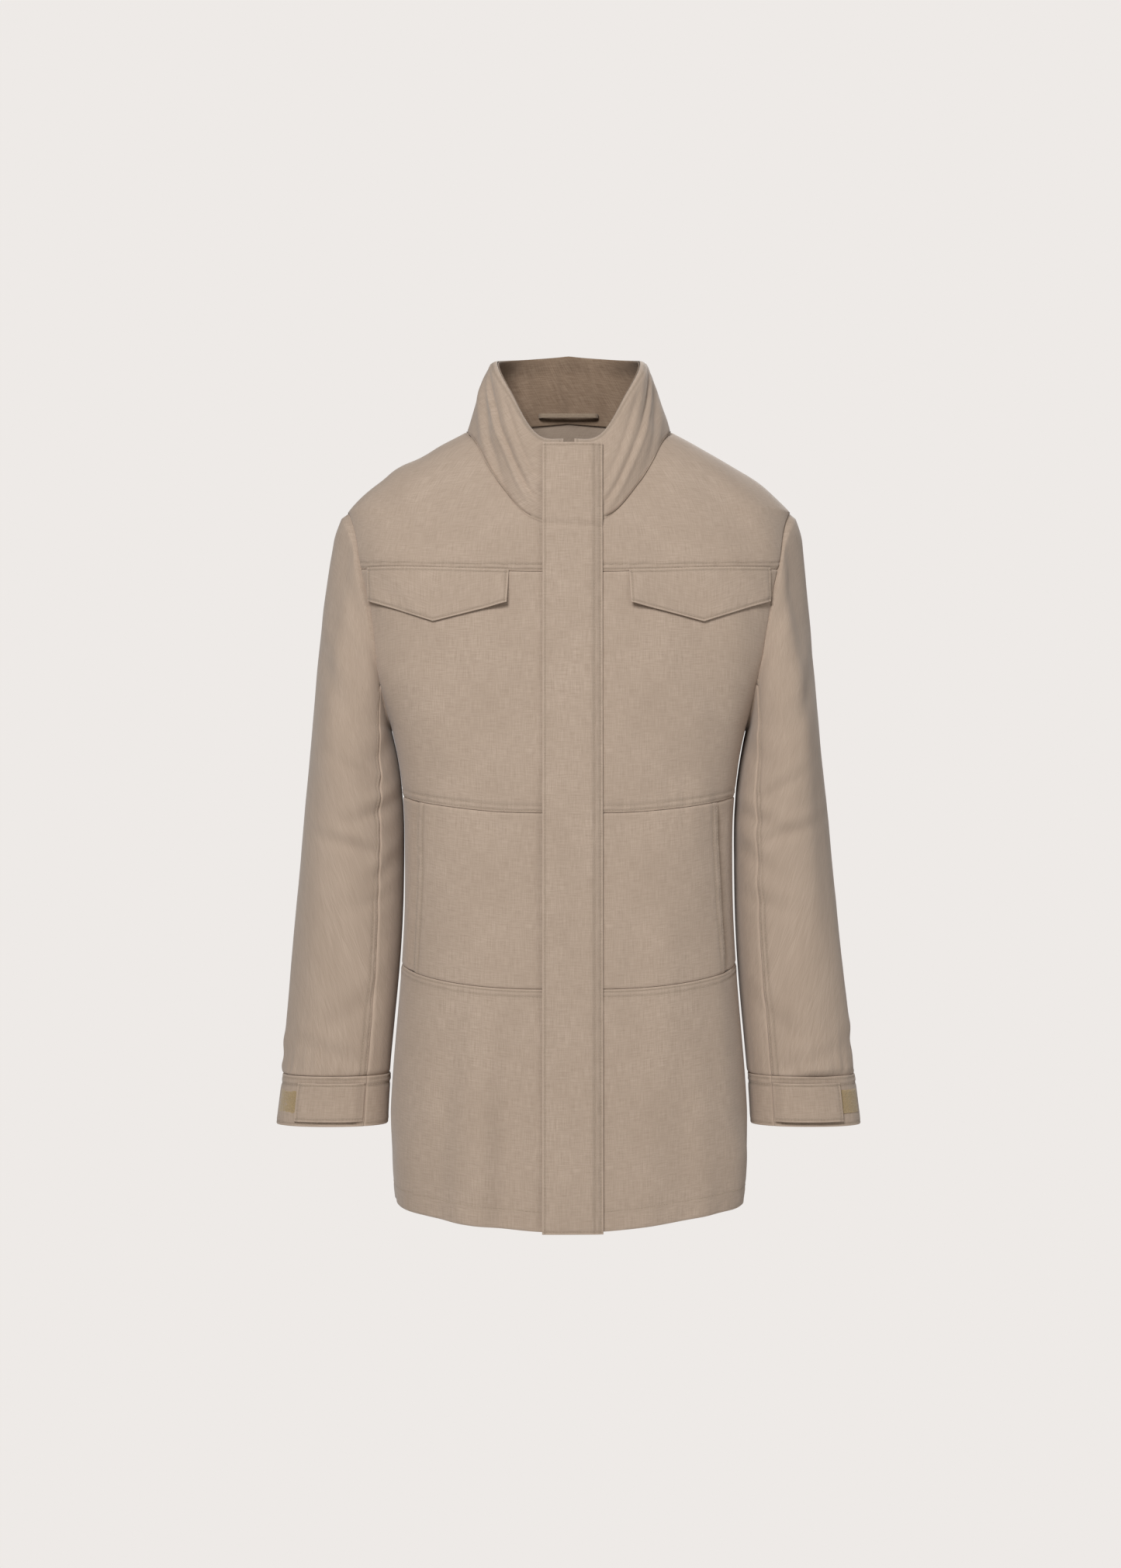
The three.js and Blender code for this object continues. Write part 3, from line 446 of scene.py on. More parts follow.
def woven(name, thread, shade, slub=0.0011, length=0.017, rough=0.86, sheen=0.25, relief=0.00022):
    """Plain-weave cloth: threads both ways that vary in thickness, in two close tones, with uneven dyeing.

    Threads are drawn about twice as coarse as real ones, which are too fine to see at arm's length.
    """
    made = bpy.data.materials.new(name)
    made.use_nodes = True
    tree = made.node_tree
    shader = tree.nodes["Principled BSDF"]
    shader.inputs["Roughness"].default_value = rough
    shader.inputs["Sheen Weight"].default_value = sheen
    shader.inputs["Sheen Roughness"].default_value = 0.6
    shader.inputs["Specular IOR Level"].default_value = 0.25
    where = node(tree, "ShaderNodeUVMap", uv_map="cloth").outputs[0]
    tones = []
    for across, along in ((slub, length), (length * 0.8, slub)):
        spread = node(tree, "ShaderNodeMapping", [("Vector", where)], in_3=(1 / across, 1 / along, 1))
        tones.append(
            node(tree, "ShaderNodeTexNoise", [("Vector", spread.outputs[0])], in_2=1.0, in_3=2.0).outputs[0]
        )
    both = node(tree, "ShaderNodeMath", [(0, tones[0]), (1, tones[1])], operation="ADD")
    height = node(tree, "ShaderNodeMapRange", [("Value", both.outputs[0])], in_1=0.7, in_2=1.3)
    cloudy = node(tree, "ShaderNodeTexNoise", [("Vector", where)], in_2=14.0, in_3=3.0)
    dye = node(tree, "ShaderNodeMapRange", [("Value", cloudy.outputs[0])], in_1=0.3, in_2=0.7)
    blend = node(
        tree, "ShaderNodeMath", [(0, height.outputs[0]), (1, dye.outputs[0])], operation="MULTIPLY_ADD",
        in_2=0.0
    )
    tree.links.new(height.outputs[0], blend.inputs[2])
    half = node(tree, "ShaderNodeMath", [(0, blend.outputs[0])], operation="MULTIPLY", in_1=0.5)
    tone = node(tree, "ShaderNodeMix", [(0, half.outputs[0])], data_type="RGBA")
    tone.inputs[6].default_value, tone.inputs[7].default_value = linear(shade), linear(thread)
    # The attribute pales worn folded edges where it is positive, and paints shade along the stitch grooves
    # where it is negative.
    fade_and_shade = node(tree, "ShaderNodeAttribute", attribute_name="edge_fade_and_groove_shade")
    pale = node(
        tree, "ShaderNodeMath", [(0, fade_and_shade.outputs["Fac"])], operation="MULTIPLY", use_clamp=True, in_1=0.15
    )
    # Painted shade: along the stitch grooves the colour darkens towards a dark copy of the shade tone.
    groove_shade_amount = node(
        tree, "ShaderNodeMath", [(0, fade_and_shade.outputs["Fac"])], operation="MULTIPLY", use_clamp=True, in_1=-0.5
    )
    faded = node(tree, "ShaderNodeMix", [(0, pale.outputs[0]), (6, tone.outputs[2])], data_type="RGBA")
    faded.inputs[7].default_value = [min(1, c * 1.5) for c in linear(thread)[:3]] + [1]
    with_groove_shade = node(tree, "ShaderNodeMix", [(0, groove_shade_amount.outputs[0]), (6, faded.outputs[2])], data_type="RGBA")
    with_groove_shade.inputs[7].default_value = [c * 0.55 for c in linear(shade)[:3]] + [1]
    tree.links.new(with_groove_shade.outputs[2], shader.inputs["Base Color"])
    bump = node(
        tree, "ShaderNodeBump", [("Height", height.outputs[0])], in_0=0.55, in_1=relief
    )
    tree.links.new(bump.outputs[0], shader.inputs["Normal"])
    return made


# Stone-coloured cotton and linen, matt, garment-washed so that folded edges are a little paler.
stone_cotton = woven("stone_cotton_linen", "#c0ad9c", "#a79483", slub=0.0009)
def finish_piece(obj, material, body_name, nodes=(), bend=None):
    """Give a piece its material, hide the CAD solids that it stands for, and hang it on the body that it
    moves with; given a bend, it is fixed in place instead.
    """
    obj.data.materials.append(material)
    if nodes:
        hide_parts(*nodes)
    if bend:
        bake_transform(obj)
    else:
        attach(obj, body_name)
    return obj


# The panels themselves, from the yokes down.
FRONT_EDGE = 6
POCKET_LINE = 64.5
TOPSTITCH = (2.2, 7.6)
HEM_FOLD = 20
SIDE_GAP = math.degrees(0.3 / NECK_HALF)
sides = (("left", 1), ("right", -1))
stitching = {}


def centre_front(z):
    return angle_at(FRONT_EDGE, z)


def pocket_edge(z):
    return POCKET_LINE + 0 * np.asarray(z, float)


def pocket_under(z):
    return POCKET_LINE - 3 + 0 * np.asarray(z, float)


def side_edge(z):
    """The front laps the back's edge by a hair, so that the side seam is closed."""
    return 90 + 2.5 * SIDE_GAP + 0 * np.asarray(z, float)


def back_from(z):
    return np.maximum(back_side(z), 90 + SIDE_GAP)


def back_to(z):
    return 360 - back_from(z)


def body_folds(p):
    """Hanging folds, calmer at the sides under the sleeves, with gathers above and below the waist seam."""
    x, y, z = p[..., 0], p[..., 1], p[..., 2]
    beside = smooth((np.abs(x) - 140) / 35) * smooth((-z - 250) / 60) * smooth((760 + z) / 50)
    signed = np.degrees(np.arctan2(x, -y))
    around = signed % 360
    waist = waist_seam(signed)
    at_neck = smooth((neck_seam(np.abs(signed)) - z) / 45)
    gather = lattice(np.stack([around / 2.6, z / 60, 0 * z], -1), 21) * np.exp(-np.abs(z - waist) / 26)
    flare = lattice(np.stack([around / 13, z / 420, 0 * z + 5], -1), 23) * 9.5 * smooth((-z - 430) / 300)
    pull = lattice(np.stack([x / 34 + z / 52, z / 95, y / 70], -1), 27) * 2.4 * smooth((z + 470) / 120)
    slack = lattice(np.stack([x / 70 - z / 120, z / 150, 0 * z + 8], -1), 29) * 4.2 * np.exp(
        -(((z + 400) / 130) ** 2)
    )
    closed = np.where(y < 0, smooth((np.abs(x) - 22) / 55), 1)
    return (drape(p) + 0.9 * gather + flare + pull + slack) * (1 - 0.88 * beside) * closed * at_neck


def front_yoke():
    share = 2 / 3
    b0, b1 = corner(yoke_seam, centre_front, HALF_GAP), corner(yoke_seam, front_side, HALF_GAP)
    t0 = corner(neck_seam, centre_front, -HALF_GAP)

    def top(t):
        t = np.asarray(t, float)
        angle = lerp(t0[0], 90, np.clip(t / share, 0, 1))
        past = (t - share) / (1 - share)
        z = np.where(past > 0, lerp(-HALF_GAP, TIP_Z, past), neck_seam(angle) - HALF_GAP)
        return angle, z

    end = tuple(float(c) for c in top(1.0))
    return patch(
        along_seam(b0, b1, yoke_seam, HALF_GAP), top, along_edge(b0, t0, centre_front),
        along_edge(b1, end, front_side)
    )


def back_yoke():
    share = 0.2
    b0, b1 = corner(yoke_seam, back_from, HALF_GAP), corner(yoke_seam, back_to, HALF_GAP)

    def top(t):
        t = np.asarray(t, float)
        over = (t - share) / (1 - 2 * share)
        angle = lerp(float(back_from(0)), float(back_to(0)), np.clip(over, 0, 1))
        past = np.maximum(share - t, t - 1 + share) / share
        return angle, np.where(past > 0, lerp(-HALF_GAP, TIP_Z, past), neck_seam(angle) - HALF_GAP)

    t0, t1 = (tuple(float(c) for c in top(k)) for k in (0.0, 1.0))
    return patch(
        along_seam(b0, b1, yoke_seam, HALF_GAP), top, along_edge(b0, t0, back_from),
        along_edge(b1, t1, back_to)
    )


MOUTH_IN, MOUTH_DEGREES, MOUTH_DIP = 70, 25, 7
MOUTH_FROM = float(angle_at(MOUTH_IN, -YOKE_DROP))
MOUTH_TO = MOUTH_FROM + MOUTH_DEGREES


def chest_top(angle):
    t = (np.asarray(angle, float) - MOUTH_FROM) / (MOUTH_TO - MOUTH_FROM)
    dip = np.where((t > 0) & (t < 1), MOUTH_DIP * smooth(np.minimum(t, 1 - t) / 0.15), 0)
    return yoke_seam(angle) - dip


def side_dip(u, v, p):
    ends = smooth(np.minimum(v, 1 - v) / 0.14)
    return -lerp(2.4, 7, ends) * (1 - smooth(u / 0.4))


def mouth_lift(u, v, p):
    """The pocket's free edge stands a little away from the side panel."""
    return 1.6 * smooth((u - 0.9) / 0.1) * np.sin(np.pi * v) ** 0.7


front_panels = {
    "front_yoke": (front_yoke(), {"foot": TOPSTITCH, "head": (2.5,)}, None),
    "chest_panel": (band(waist_seam, chest_top, centre_front, front_side), {"foot": TOPSTITCH}, None),
    "pocket_panel": (
        band(lower_seam, waist_seam, centre_front, pocket_edge),
        {"end": (3, 9.5)},
        mouth_lift,
    ),
    "side_panel": (band(lower_seam, waist_seam, pocket_under, side_edge), {}, side_dip),
    "lower_front": (
        band(hem_line, lower_seam, centre_front, side_edge),
        {"foot": (HEM_FOLD,), "head": TOPSTITCH},
        None,
    ),
}
for name, (place, stitched, lift) in front_panels.items():
    for side, sign in sides:
        panel = Panel(
            place, folds=body_folds, stitched=stitched, lift=lift, mirror=sign < 0, seed=len(name) + sign
        )
        node_name = side + "_" + name
        finish_piece(sew(node_name + "_cloth", panel), stone_cotton, "jacket", [node_name])
        stitching.setdefault("jacket", []).extend(
            stitch_path(panel, e, at) for e in stitched for at in stitched[e]
        )

back_panels = {
    "back_yoke": (back_yoke(), {"foot": TOPSTITCH}),
    "back_panel": (band(waist_seam, yoke_seam, back_from, back_to), {"foot": TOPSTITCH}),
    "back_skirt": (
        band(hem_line, waist_seam, back_from, back_to),
        {"foot": (HEM_FOLD,), "start": (2.2,), "end": (2.2,)},
    ),
}
for name, (place, stitched) in back_panels.items():
    panel = Panel(place, folds=body_folds, stitched=stitched, seed=len(name))
    finish_piece(sew(name + "_cloth", panel), stone_cotton, "jacket", [name])
    stitching["jacket"].extend(stitch_path(panel, e, at) for e in stitched for at in stitched[e])

# ---------------------------------------------------------------- facings and lining
# The turned-up hem, the facings down both fronts and a body lining that hangs free of the shell below the
# yokes, all following the shell's folds.
UNDER_SHELL, SKIN = 2.5, 0.8
LINING_EDGE, TAPE_OUT = 30, 13
# The same cloth turned to the inside, duller, and darker with painted shade.
shade_painted_facing_cotton = woven("shade_painted_facing_linen", "#9a8571", "#7b6654", sheen=0.1)
# Smooth body lining with a faint lustre.
lining_twill = woven(
    "brown_grey_lining", "#8a7663", "#6f5c4b", slub=0.0006, rough=0.5, sheen=0.05, relief=0.00006
)


def hem_fold_top(angle):
    return hem_line(angle) + HEM_FOLD


def facing_edge(z):
    return angle_at(TAPE_OUT + 0.5, z)


def lining_start(z):
    return angle_at(LINING_EDGE, z)


def lining_gap(z):
    return angle_at(LINING_EDGE - 0.3, z)


def hem_depth(u, v, p):
    return -UNDER_SHELL - 0.3 - v


def lining_depth(u, v, p):
    across = lerp(8.2, 10.5, smooth(np.minimum(u, 1 - u) / 0.14))
    return -lerp(4.9, across, smooth(v / 0.09))


def facing_depth(u, v, p):
    return -UNDER_SHELL + 0 * u


def inner_cloth(name, place, lift, material, mirror=False):
    panel = Panel(place, pitch=5, folds=body_folds, lift=lift, roll=0.25, mirror=mirror)
    finish_piece(sew(name + "_cloth", panel, SKIN), material, "jacket", [name])


for side, sign in sides:
    flip = sign < 0
    inner_cloth(
        side + "_front_facing", band(hem_fold_top, neck_seam, facing_edge, lining_gap), facing_depth,
        shade_painted_facing_cotton, flip,
    )
    inner_cloth(
        side + "_hem_facing", band(hem_line, hem_fold_top, centre_front, side_edge), hem_depth,
        shade_painted_facing_cotton, flip,
    )
    inner_cloth(
        side + "_lining", band(hem_fold_top, yoke_seam, lining_start, front_side), lining_depth,
        lining_twill, flip,
    )
inner_cloth(
    "back_hem_facing", band(hem_line, hem_fold_top, back_from, back_to), hem_depth, shade_painted_facing_cotton
)
inner_cloth(
    "back_lining", band(hem_fold_top, yoke_seam, back_from, back_to), lining_depth, lining_twill
)

# ---------------------------------------------------------------- collar
# A funnel of two layers, cut high at the back and falling to the front edges. It is soft, so it drapes in
# slanting folds at the front.
COLLAR_THICK, COLLAR_FACING, COLLAR_BACK = 1.9, 1.4, 70
COLLAR_START = 3.95
FACING_START = COLLAR_START + (360 - 2 * COLLAR_START) / 36
rim_half = through([(0, COLLAR_FRONT), (45, 83), (90, 81), (135, 73), (180, BACK_NECK_DEPTH + 3)])
rim_height = through([
    (0, -COLLAR_FRONT_DROP + 5), (22, -COLLAR_FRONT_DROP + 10), (45, 34), (66, 62), (90, 76),
    (180, BACK_NECK_RISE + COLLAR_BACK),
])


def collar(angle, v):
    mirrored = np.where(angle > 180, 360 - angle, angle)
    base = body(angle, neck_seam(angle))
    a = np.radians(angle)
    p = np.where(np.cos(a) > 0, 2.7, 2.1)
    r = rim_half(mirrored) * (np.abs(np.sin(a)) ** p + np.abs(np.cos(a)) ** p) ** (-1 / p)
    rim = np.stack([r * np.sin(a), -r * np.cos(a), rim_height(mirrored)], -1)
    point = lerp(base, rim, v[..., None])
    point[..., 2] = lerp(base[..., 2] - 2, rim[..., 2], v)
    return point


def around_collar(start):
    return lambda u, v: collar(lerp(start, 360 - start, u), v)


# Slanting creases of the collar's front: degrees round at half height, slant in degrees over the height, half
# width in degrees and depth.
COLLAR_CREASES = ((22, 58, 3.4, 2.2), (41, 74, 3.6, 3.6), (64, 46, 5.5, 2.6))
# Creases down the inside of the back neck: degrees round, half width in degrees and depth.
NECK_CREASES = ((-170, 4.5, 3.4), (153, 5, 2.8), (-143, 6, 2.2))
# Degrees each side of the front that lie flat, where the zip's pull swings.
ZIP_CLEAR = 13


def collar_folds(depth):
    def lift(u, v, p):
        angle = np.degrees(np.arctan2(p[..., 0], -p[..., 1]))
        front = smooth(1.4 - np.abs(angle) / 75)
        slant = lattice(np.stack([np.abs(angle) / 11 + v * 3.2, v * 0.8, np.sign(angle) * 9.0], -1), 41)
        wave = lattice(np.stack([angle / 26, v * 1.4, 0 * v], -1), 43)
        bow = np.sin(np.pi * np.clip(v, 0, 1))
        rolled = 5.0 * (smooth((v - 0.72) / 0.28) if depth else np.clip((v - 0.9) / 0.1, 0, 1) ** 2.5)
        creased = 0
        for at, slope, half, deep in COLLAR_CREASES:
            at = at + 6 * (angle > 0)
            deep = deep * (1 - 0.35 * (angle > 0))
            gap = (np.abs(angle) - at - slope * (v - 0.5)) / half
            reach = smooth((v + 0.05) / 0.3) * smooth((1.02 - v) / 0.3)
            creased = creased - deep * reach * (np.exp(-(gap**2)) - 0.7 * np.exp(-((gap - 2.2) ** 2)))
        for at, half, deep in NECK_CREASES if depth else ():
            gap = (angle - at - 14 * (v - 0.5)) / half
            reach = smooth(v / 0.3) * smooth((1 - v) / 0.25)
            creased = creased - deep * reach * np.exp(-(gap**2))
        folds = (3.0 * slant * front + 2.4 * wave) * (0.25 + 0.75 * bow) + 4.0 * bow * front + creased
        return folds * smooth((np.abs(angle) - ZIP_CLEAR) / 14) - depth - rolled

    return lift


collar_seams = {"foot": (2.4,), "head": (3,), "start": (3,), "end": (3,)}
outer_collar = Panel(
    around_collar(COLLAR_START), lift=collar_folds(0), stitched=collar_seams, roll=0.8, seed=5
)
finish_piece(
    sew("collar_cloth", outer_collar, COLLAR_THICK), stone_cotton, "jacket", ["collar"]
)
stitching["jacket"].extend(stitch_path(outer_collar, e, at) for e in collar_seams for at in collar_seams[e])
inner_collar = Panel(around_collar(FACING_START), lift=collar_folds(COLLAR_THICK + 0.5), roll=0.3, seed=6)
finish_piece(
    sew("collar_facing_cloth", inner_collar, COLLAR_FACING), shade_painted_facing_cotton, "jacket",
    ["collar_facing"]
)

# ---------------------------------------------------------------- sleeves
# Two-piece sleeves, the top sleeve wrapping round to a topstitched seam behind, creased at the elbow and
# gathered a little into the cuff.
SLEEVE_LENGTH, SLEEVE_SPLAY, SLEEVE_CLEAR = 641, 70.5, 2.5
BICEPS, ELBOW, CUFF_GIRTH = 415, 376, 318
ARMHOLE_STAND, ARMHOLE_TUCK, SLEEVE_SEAM = 1.2, 6, 126
CUFF_HEIGHT, CUFF_THICK = 52, 2.6
CUFF_END = TIP_Z - SLEEVE_LENGTH
CUFF_TOP = CUFF_END + CUFF_HEIGHT
ELBOW_Z = ARMPIT_Z - 140
outer_hang = through([
    (CUFF_END, SHOULDER_HALF + SLEEVE_SPLAY), (CUFF_END + 76, SHOULDER_HALF + 0.88 * SLEEVE_SPLAY),
    (CUFF_END + 0.565 * SLEEVE_LENGTH, SHOULDER_HALF + 0.525 * SLEEVE_SPLAY),
    (TIP_Z - 32, SHOULDER_HALF + 0.15 * SLEEVE_SPLAY), (TIP_Z, SHOULDER_HALF),
])


def inner_hang(z):
    return SLEEVE_CLEAR + np.where(z > ARMPIT_Z, ARMPIT_HALF, half_width(z))


def half_depth_for(girth, half_across):
    return math.sqrt(2 * (girth / (2 * math.pi)) ** 2 - half_across**2)


hang_depth = through([
    (CUFF_END, half_depth_for(CUFF_GIRTH, 58)), (CUFF_TOP, half_depth_for(CUFF_GIRTH * 1.02, 57)),
    (ELBOW_Z, half_depth_for(ELBOW, 51)), (ARMPIT_Z, half_depth_for(BICEPS, 37)), (TIP_Z, ARMHOLE_HALF_DEPTH),
])
hang_centre = through([(CUFF_END, -24), (ELBOW_Z, 0), (ARMPIT_Z, ARMHOLE_BACK), (TIP_Z, ARMHOLE_BACK / 2)])


def tube(angle, z):
    a = np.radians(angle)
    c = np.sign(np.cos(a)) * np.abs(np.cos(a)) ** 0.92
    s = np.sign(np.sin(a)) * np.abs(np.sin(a)) ** 0.92
    out, inn = outer_hang(z), inner_hang(z)
    return np.stack(
        [(out + inn) / 2 + (out - inn) / 2 * c, hang_centre(z) - hang_depth(z) * s, z + 0 * a], -1
    )


def armhole(angle):
    reach = np.sin(np.radians(angle))
    y = ARMHOLE_BACK * reach**2 - ARMHOLE_HALF_DEPTH * reach
    z = ARMHOLE_Z + ARMHOLE_HALF_HEIGHT * np.cos(np.radians(angle))
    x = side_x(y, z)
    turn = np.degrees(np.arctan2(x, -y))
    n = np.cross(body(turn + 0.5, z) - body(turn - 0.5, z), body(turn, z + 0.5) - body(turn, z - 0.5))
    n /= np.linalg.norm(n, axis=-1, keepdims=True)
    return np.stack([x, y, z], -1) + ARMHOLE_STAND * n, n


def sleeve(angle, v):
    head, n = armhole(angle)
    z = lerp(head[..., 2], CUFF_TOP + HALF_GAP, v)
    offset = (head - tube(angle, head[..., 2])) * (1 - smooth(v / 0.42))[..., None]
    offset[..., 2] = 0
    tuck = ARMHOLE_TUCK * np.clip(1 - v / 0.012, 0, 1)
    return tube(angle, z) + offset - n * tuck[..., None]


# Creases: height, angle round the sleeve, slant, half width and depth.
CREASES = (
    (-340, 138, 0.35, 12, 2.4), (-378, 112, -0.55, 7, 2.2), (-404, 132, 0.3, 8, 2.8),
    (-436, 106, -0.3, 7, 2.4),
    (-458, 134, 0.5, 10, 2.6), (-496, 120, 0.25, 9, 1.8), (-618, 104, 0.7, 13, 1.6), (-656, 84, -0.3, 8, 1.3),
    (-650, 8, 0.25, 8, 1.2), (-448, -74, -0.3, 9, 1.8), (-478, -98, 0.35, 8, 1.8), (-286, 62, -1.0, 15, 1.8),
    (-214, 84, -1.2, 12, 1.5), (-655, -80, 0.3, 9, 1.4),
)


def sleeve_folds(start, end, sign):
    def lift(u, v, p):
        angle, z = lerp(start, end, u), p[..., 2]
        h = drape(p, 0.7, 51)
        h = h + 3.4 * lattice(np.stack([angle / 38, z / 210, 0 * z + 4 * sign], -1), 53) * smooth(v / 0.12)
        for k, (at, towards, slant, half, deep) in enumerate(CREASES):
            at += sign * 9 * math.sin(5 * k)
            gap = (angle - towards + 180) % 360 - 180
            off = (z - at - slant * gap) / half
            reach = np.exp(-((gap / (30 + 5 * (k % 4))) ** 2))
            h = h - deep * reach * (np.exp(-(off**2)) - 0.75 * np.exp(-((off - 2.1) ** 2)))
        gather = lattice(np.stack([angle / 6.5, z / 70, 0 * z + sign], -1), 57)
        h = h + 1.5 * gather * np.exp(-(z - CUFF_TOP) / 30)
        inner = np.exp(-((((angle - 180 + 180) % 360 - 180) / 48) ** 2))
        return h * (1 - 0.8 * inner) * smooth((1 - v) / 0.02 + 0.2)

    return lift


def cuff_ring(start, end, low, high):
    return lambda u, v: tube(lerp(start, end, u), lerp(high, low, v))


SEAM_DEGREES = math.degrees(HALF_GAP / 60)
CUFF_FROM = SLEEVE_SEAM + 1
# The middle of the armhole, the way that the sleeve leaves it and a narrow band from there along that way. In
# metres. Pieces given these are fixed in place.
ARMHOLE_MIDDLE, ARMHOLE_FACES, BEND_BAND = (
    np.array([0.211, -0.047, -0.2196]), np.array([0.979, 0, -0.2015]), 0.010
)
bends = {}
for side, sign in sides:
    start, away = ARMHOLE_MIDDLE * [sign, 1, 1], ARMHOLE_FACES * [sign, 1, 1]
    bends[side] = ("jacket", side + "_sleeve", tuple(start), tuple(start + away * BEND_BAND))
    spans = {
        "top_sleeve": (
            SEAM_DEGREES - SLEEVE_SEAM, SLEEVE_SEAM - SEAM_DEGREES, {"start": TOPSTITCH, "end": TOPSTITCH}
        ),
        "under_sleeve": (SLEEVE_SEAM + SEAM_DEGREES, 360 - SLEEVE_SEAM - SEAM_DEGREES, {}),
    }
    for name, (begin, finish_at, stitched) in spans.items():
        panel = Panel(
            lambda u, v, a=begin, b=finish_at: sleeve(lerp(a, b, u), v),
            lift=sleeve_folds(begin, finish_at, sign), stitched=stitched, mirror=sign < 0, seed=11 + sign,
        )
        piece = sew(side + "_" + name + "_cloth", panel)
        finish_piece(piece, stone_cotton, None, [side + "_" + name], bends[side])
        paths = [stitch_path(panel, e, at) for e in stitched for at in stitched[e]]
        stitching.setdefault(side + "_sleeve", []).extend(paths)

    cuff_seams = {"head": (3,), "foot": (3, 9)}
    panel = Panel(
        cuff_ring(CUFF_FROM, CUFF_FROM + 359.7, CUFF_END, CUFF_TOP - HALF_GAP),
        lift=lambda u, v, p: drape(p, 0.45, 61), stitched=cuff_seams, roll=0.7, mirror=sign < 0,
        seed=13 + sign,
    )
    finish_piece(
        sew(side + "_cuff_cloth", panel, CUFF_THICK), stone_cotton, side + "_sleeve",
        [side + "_cuff"]
    )
    stitching[side + "_sleeve"].extend(stitch_path(panel, e, at) for e in cuff_seams for at in cuff_seams[e])

# ---------------------------------------------------------------- cuff tabs
# A strap of doubled shell cloth, topstitched round and caught in the sleeve's front seam. The hook pad under
# its free end closes on a khaki loop patch sewn round the cuff.
TAB_END, TAB_THICK, TAB_HEIGHT, TAB_ABOVE = 54, 1.8, 40, 5
LOOP_HEIGHT, LOOP_ABOVE, LOOP_THICK, HOOK_THICK = 24, 17, 1.0, 0.8
CUFF_STEP = 358 / 24
LOOP_FROM = CUFF_FROM + 17 * CUFF_STEP - 360
LOOP_LOW = CUFF_END + LOOP_ABOVE
TAB_FACE = 0.9 + LOOP_THICK + HOOK_THICK
# Khaki hook-and-loop: a mat of short nylon hooks and loops, fuzzy and without shine.
hook_and_loop = woven(
    "khaki_hook_and_loop", "#c2a679", "#957f58", slub=0.0012, length=0.0014, rough=0.97, sheen=0.5,
    relief=0.0009
)


def pile(p, seed):
    return 0.22 * lattice(p / 1.1, seed) + 0.12 * lattice(p / 0.6, seed + 1)


for side, sign in sides:
    flip = sign < 0
    loop_low, loop_high = LOOP_LOW - 4, LOOP_LOW - 4 + LOOP_HEIGHT
    pads = (
        ("cuff_loop_patch", LOOP_FROM, LOOP_FROM + 5 * CUFF_STEP, loop_low, loop_high, 0.3, LOOP_THICK),
        ("cuff_tab_hook", TAB_END + 3, TAB_END + 24, loop_low + 1, loop_high - 1, 1.6, HOOK_THICK),
    )
    for name, begin, finish_at, low, high, stand, thick in pads:
        panel = Panel(
            cuff_ring(begin, finish_at, low, high), pitch=0.9, roll=0.3, mirror=flip,
            lift=lambda u, v, p, top=stand + thick: top - 0.15 + pile(p, 71) * 0.6,
        )
        moves = side + ("_sleeve" if name == "cuff_loop_patch" else "_cuff_tab")
        pad = sew(f"{side}_{name}_pile", panel, thick)
        finish_piece(pad, hook_and_loop, moves, [f"{side}_{name}"])
    tab_seams = {"start": (2.4,), "head": (2.4,), "foot": (2.4,)}
    panel = Panel(
        cuff_ring(TAB_END, SLEEVE_SEAM - 2, CUFF_END + TAB_ABOVE, CUFF_END + TAB_ABOVE + TAB_HEIGHT),
        pitch=2.2, stitched=tab_seams, roll=0.5, mirror=flip, seed=17 + sign,
        lift=lambda u, v, p: TAB_THICK + lerp(TAB_FACE, 0.3, smooth((u - 0.82) / 0.16)) + drape(p, 0.25, 73)
        + 1.2 * (1 - v) ** 3 * np.sin(np.pi * u),
    )
    finish_piece(
        sew(side + "_cuff_tab_cloth", panel, TAB_THICK), stone_cotton, side + "_cuff_tab",
        [side + "_cuff_tab"],
    )
    stitching[side + "_cuff_tab"] = [stitch_path(panel, e, at) for e in tab_seams for at in tab_seams[e]]

# ---------------------------------------------------------------- chest flaps
# Pointed flaps of doubled shell cloth, caught in the yoke seam and topstitched all round. Their inner ends
# stand a little off the chest.
FLAP_IN, FLAP_OUT, FLAP_SIDE, FLAP_POINT = 62, 208, 33, 54
FLAP_THICK, FLAP_STAND = 1.8, 0.6
seam_half, seam_p = float(half_width(-YOKE_DROP)), float(squareness(-YOKE_DROP))
flap_out_y = float(front_depth(-YOKE_DROP)) * (1 - (FLAP_OUT / seam_half) ** seam_p) ** (1 / seam_p)
FLAP_FROM = float(angle_at(FLAP_IN, -YOKE_DROP))
FLAP_TO = math.degrees(math.atan2(FLAP_OUT, flap_out_y))


def chest_flap(u, v):
    angle = lerp(FLAP_FROM, FLAP_TO, u)
    x = body(angle, -YOKE_DROP + 0 * u)[..., 0]
    t = (x - FLAP_IN) / (FLAP_OUT - FLAP_IN)
    length = FLAP_SIDE + (FLAP_POINT - FLAP_SIDE) * (1 - np.abs(2 * t - 1))
    return body(angle, lerp(yoke_seam(angle) - length, yoke_seam(angle) + 1.5, v))


def flap_lift(u, v, p):
    free = (1 - v) ** 1.4
    inner_end = np.exp(-((u / 0.16) ** 2)) * 6.0
    outer_end = np.exp(-(((1 - u) / 0.12) ** 2)) * 2.5
    return FLAP_STAND + FLAP_THICK + free * (1.6 + inner_end + outer_end) + 0.6 * drape(p, 0.6, 81) * free


for side, sign in sides:
    flap_seams = {"start": (2.6,), "end": (2.6,), "foot": (2.6,), "head": (2.6,)}
    panel = Panel(
        chest_flap, pitch=2.4, folds=body_folds, lift=flap_lift, stitched=flap_seams, roll=0.6,
        mirror=sign < 0,
        seed=19 + sign,
    )
    moves = side + "_chest_flap"
    finish_piece(sew(moves + "_cloth", panel, FLAP_THICK), stone_cotton, moves, [moves])
    stitching[moves] = [stitch_path(panel, e, at) for e in flap_seams for at in flap_seams[e]]

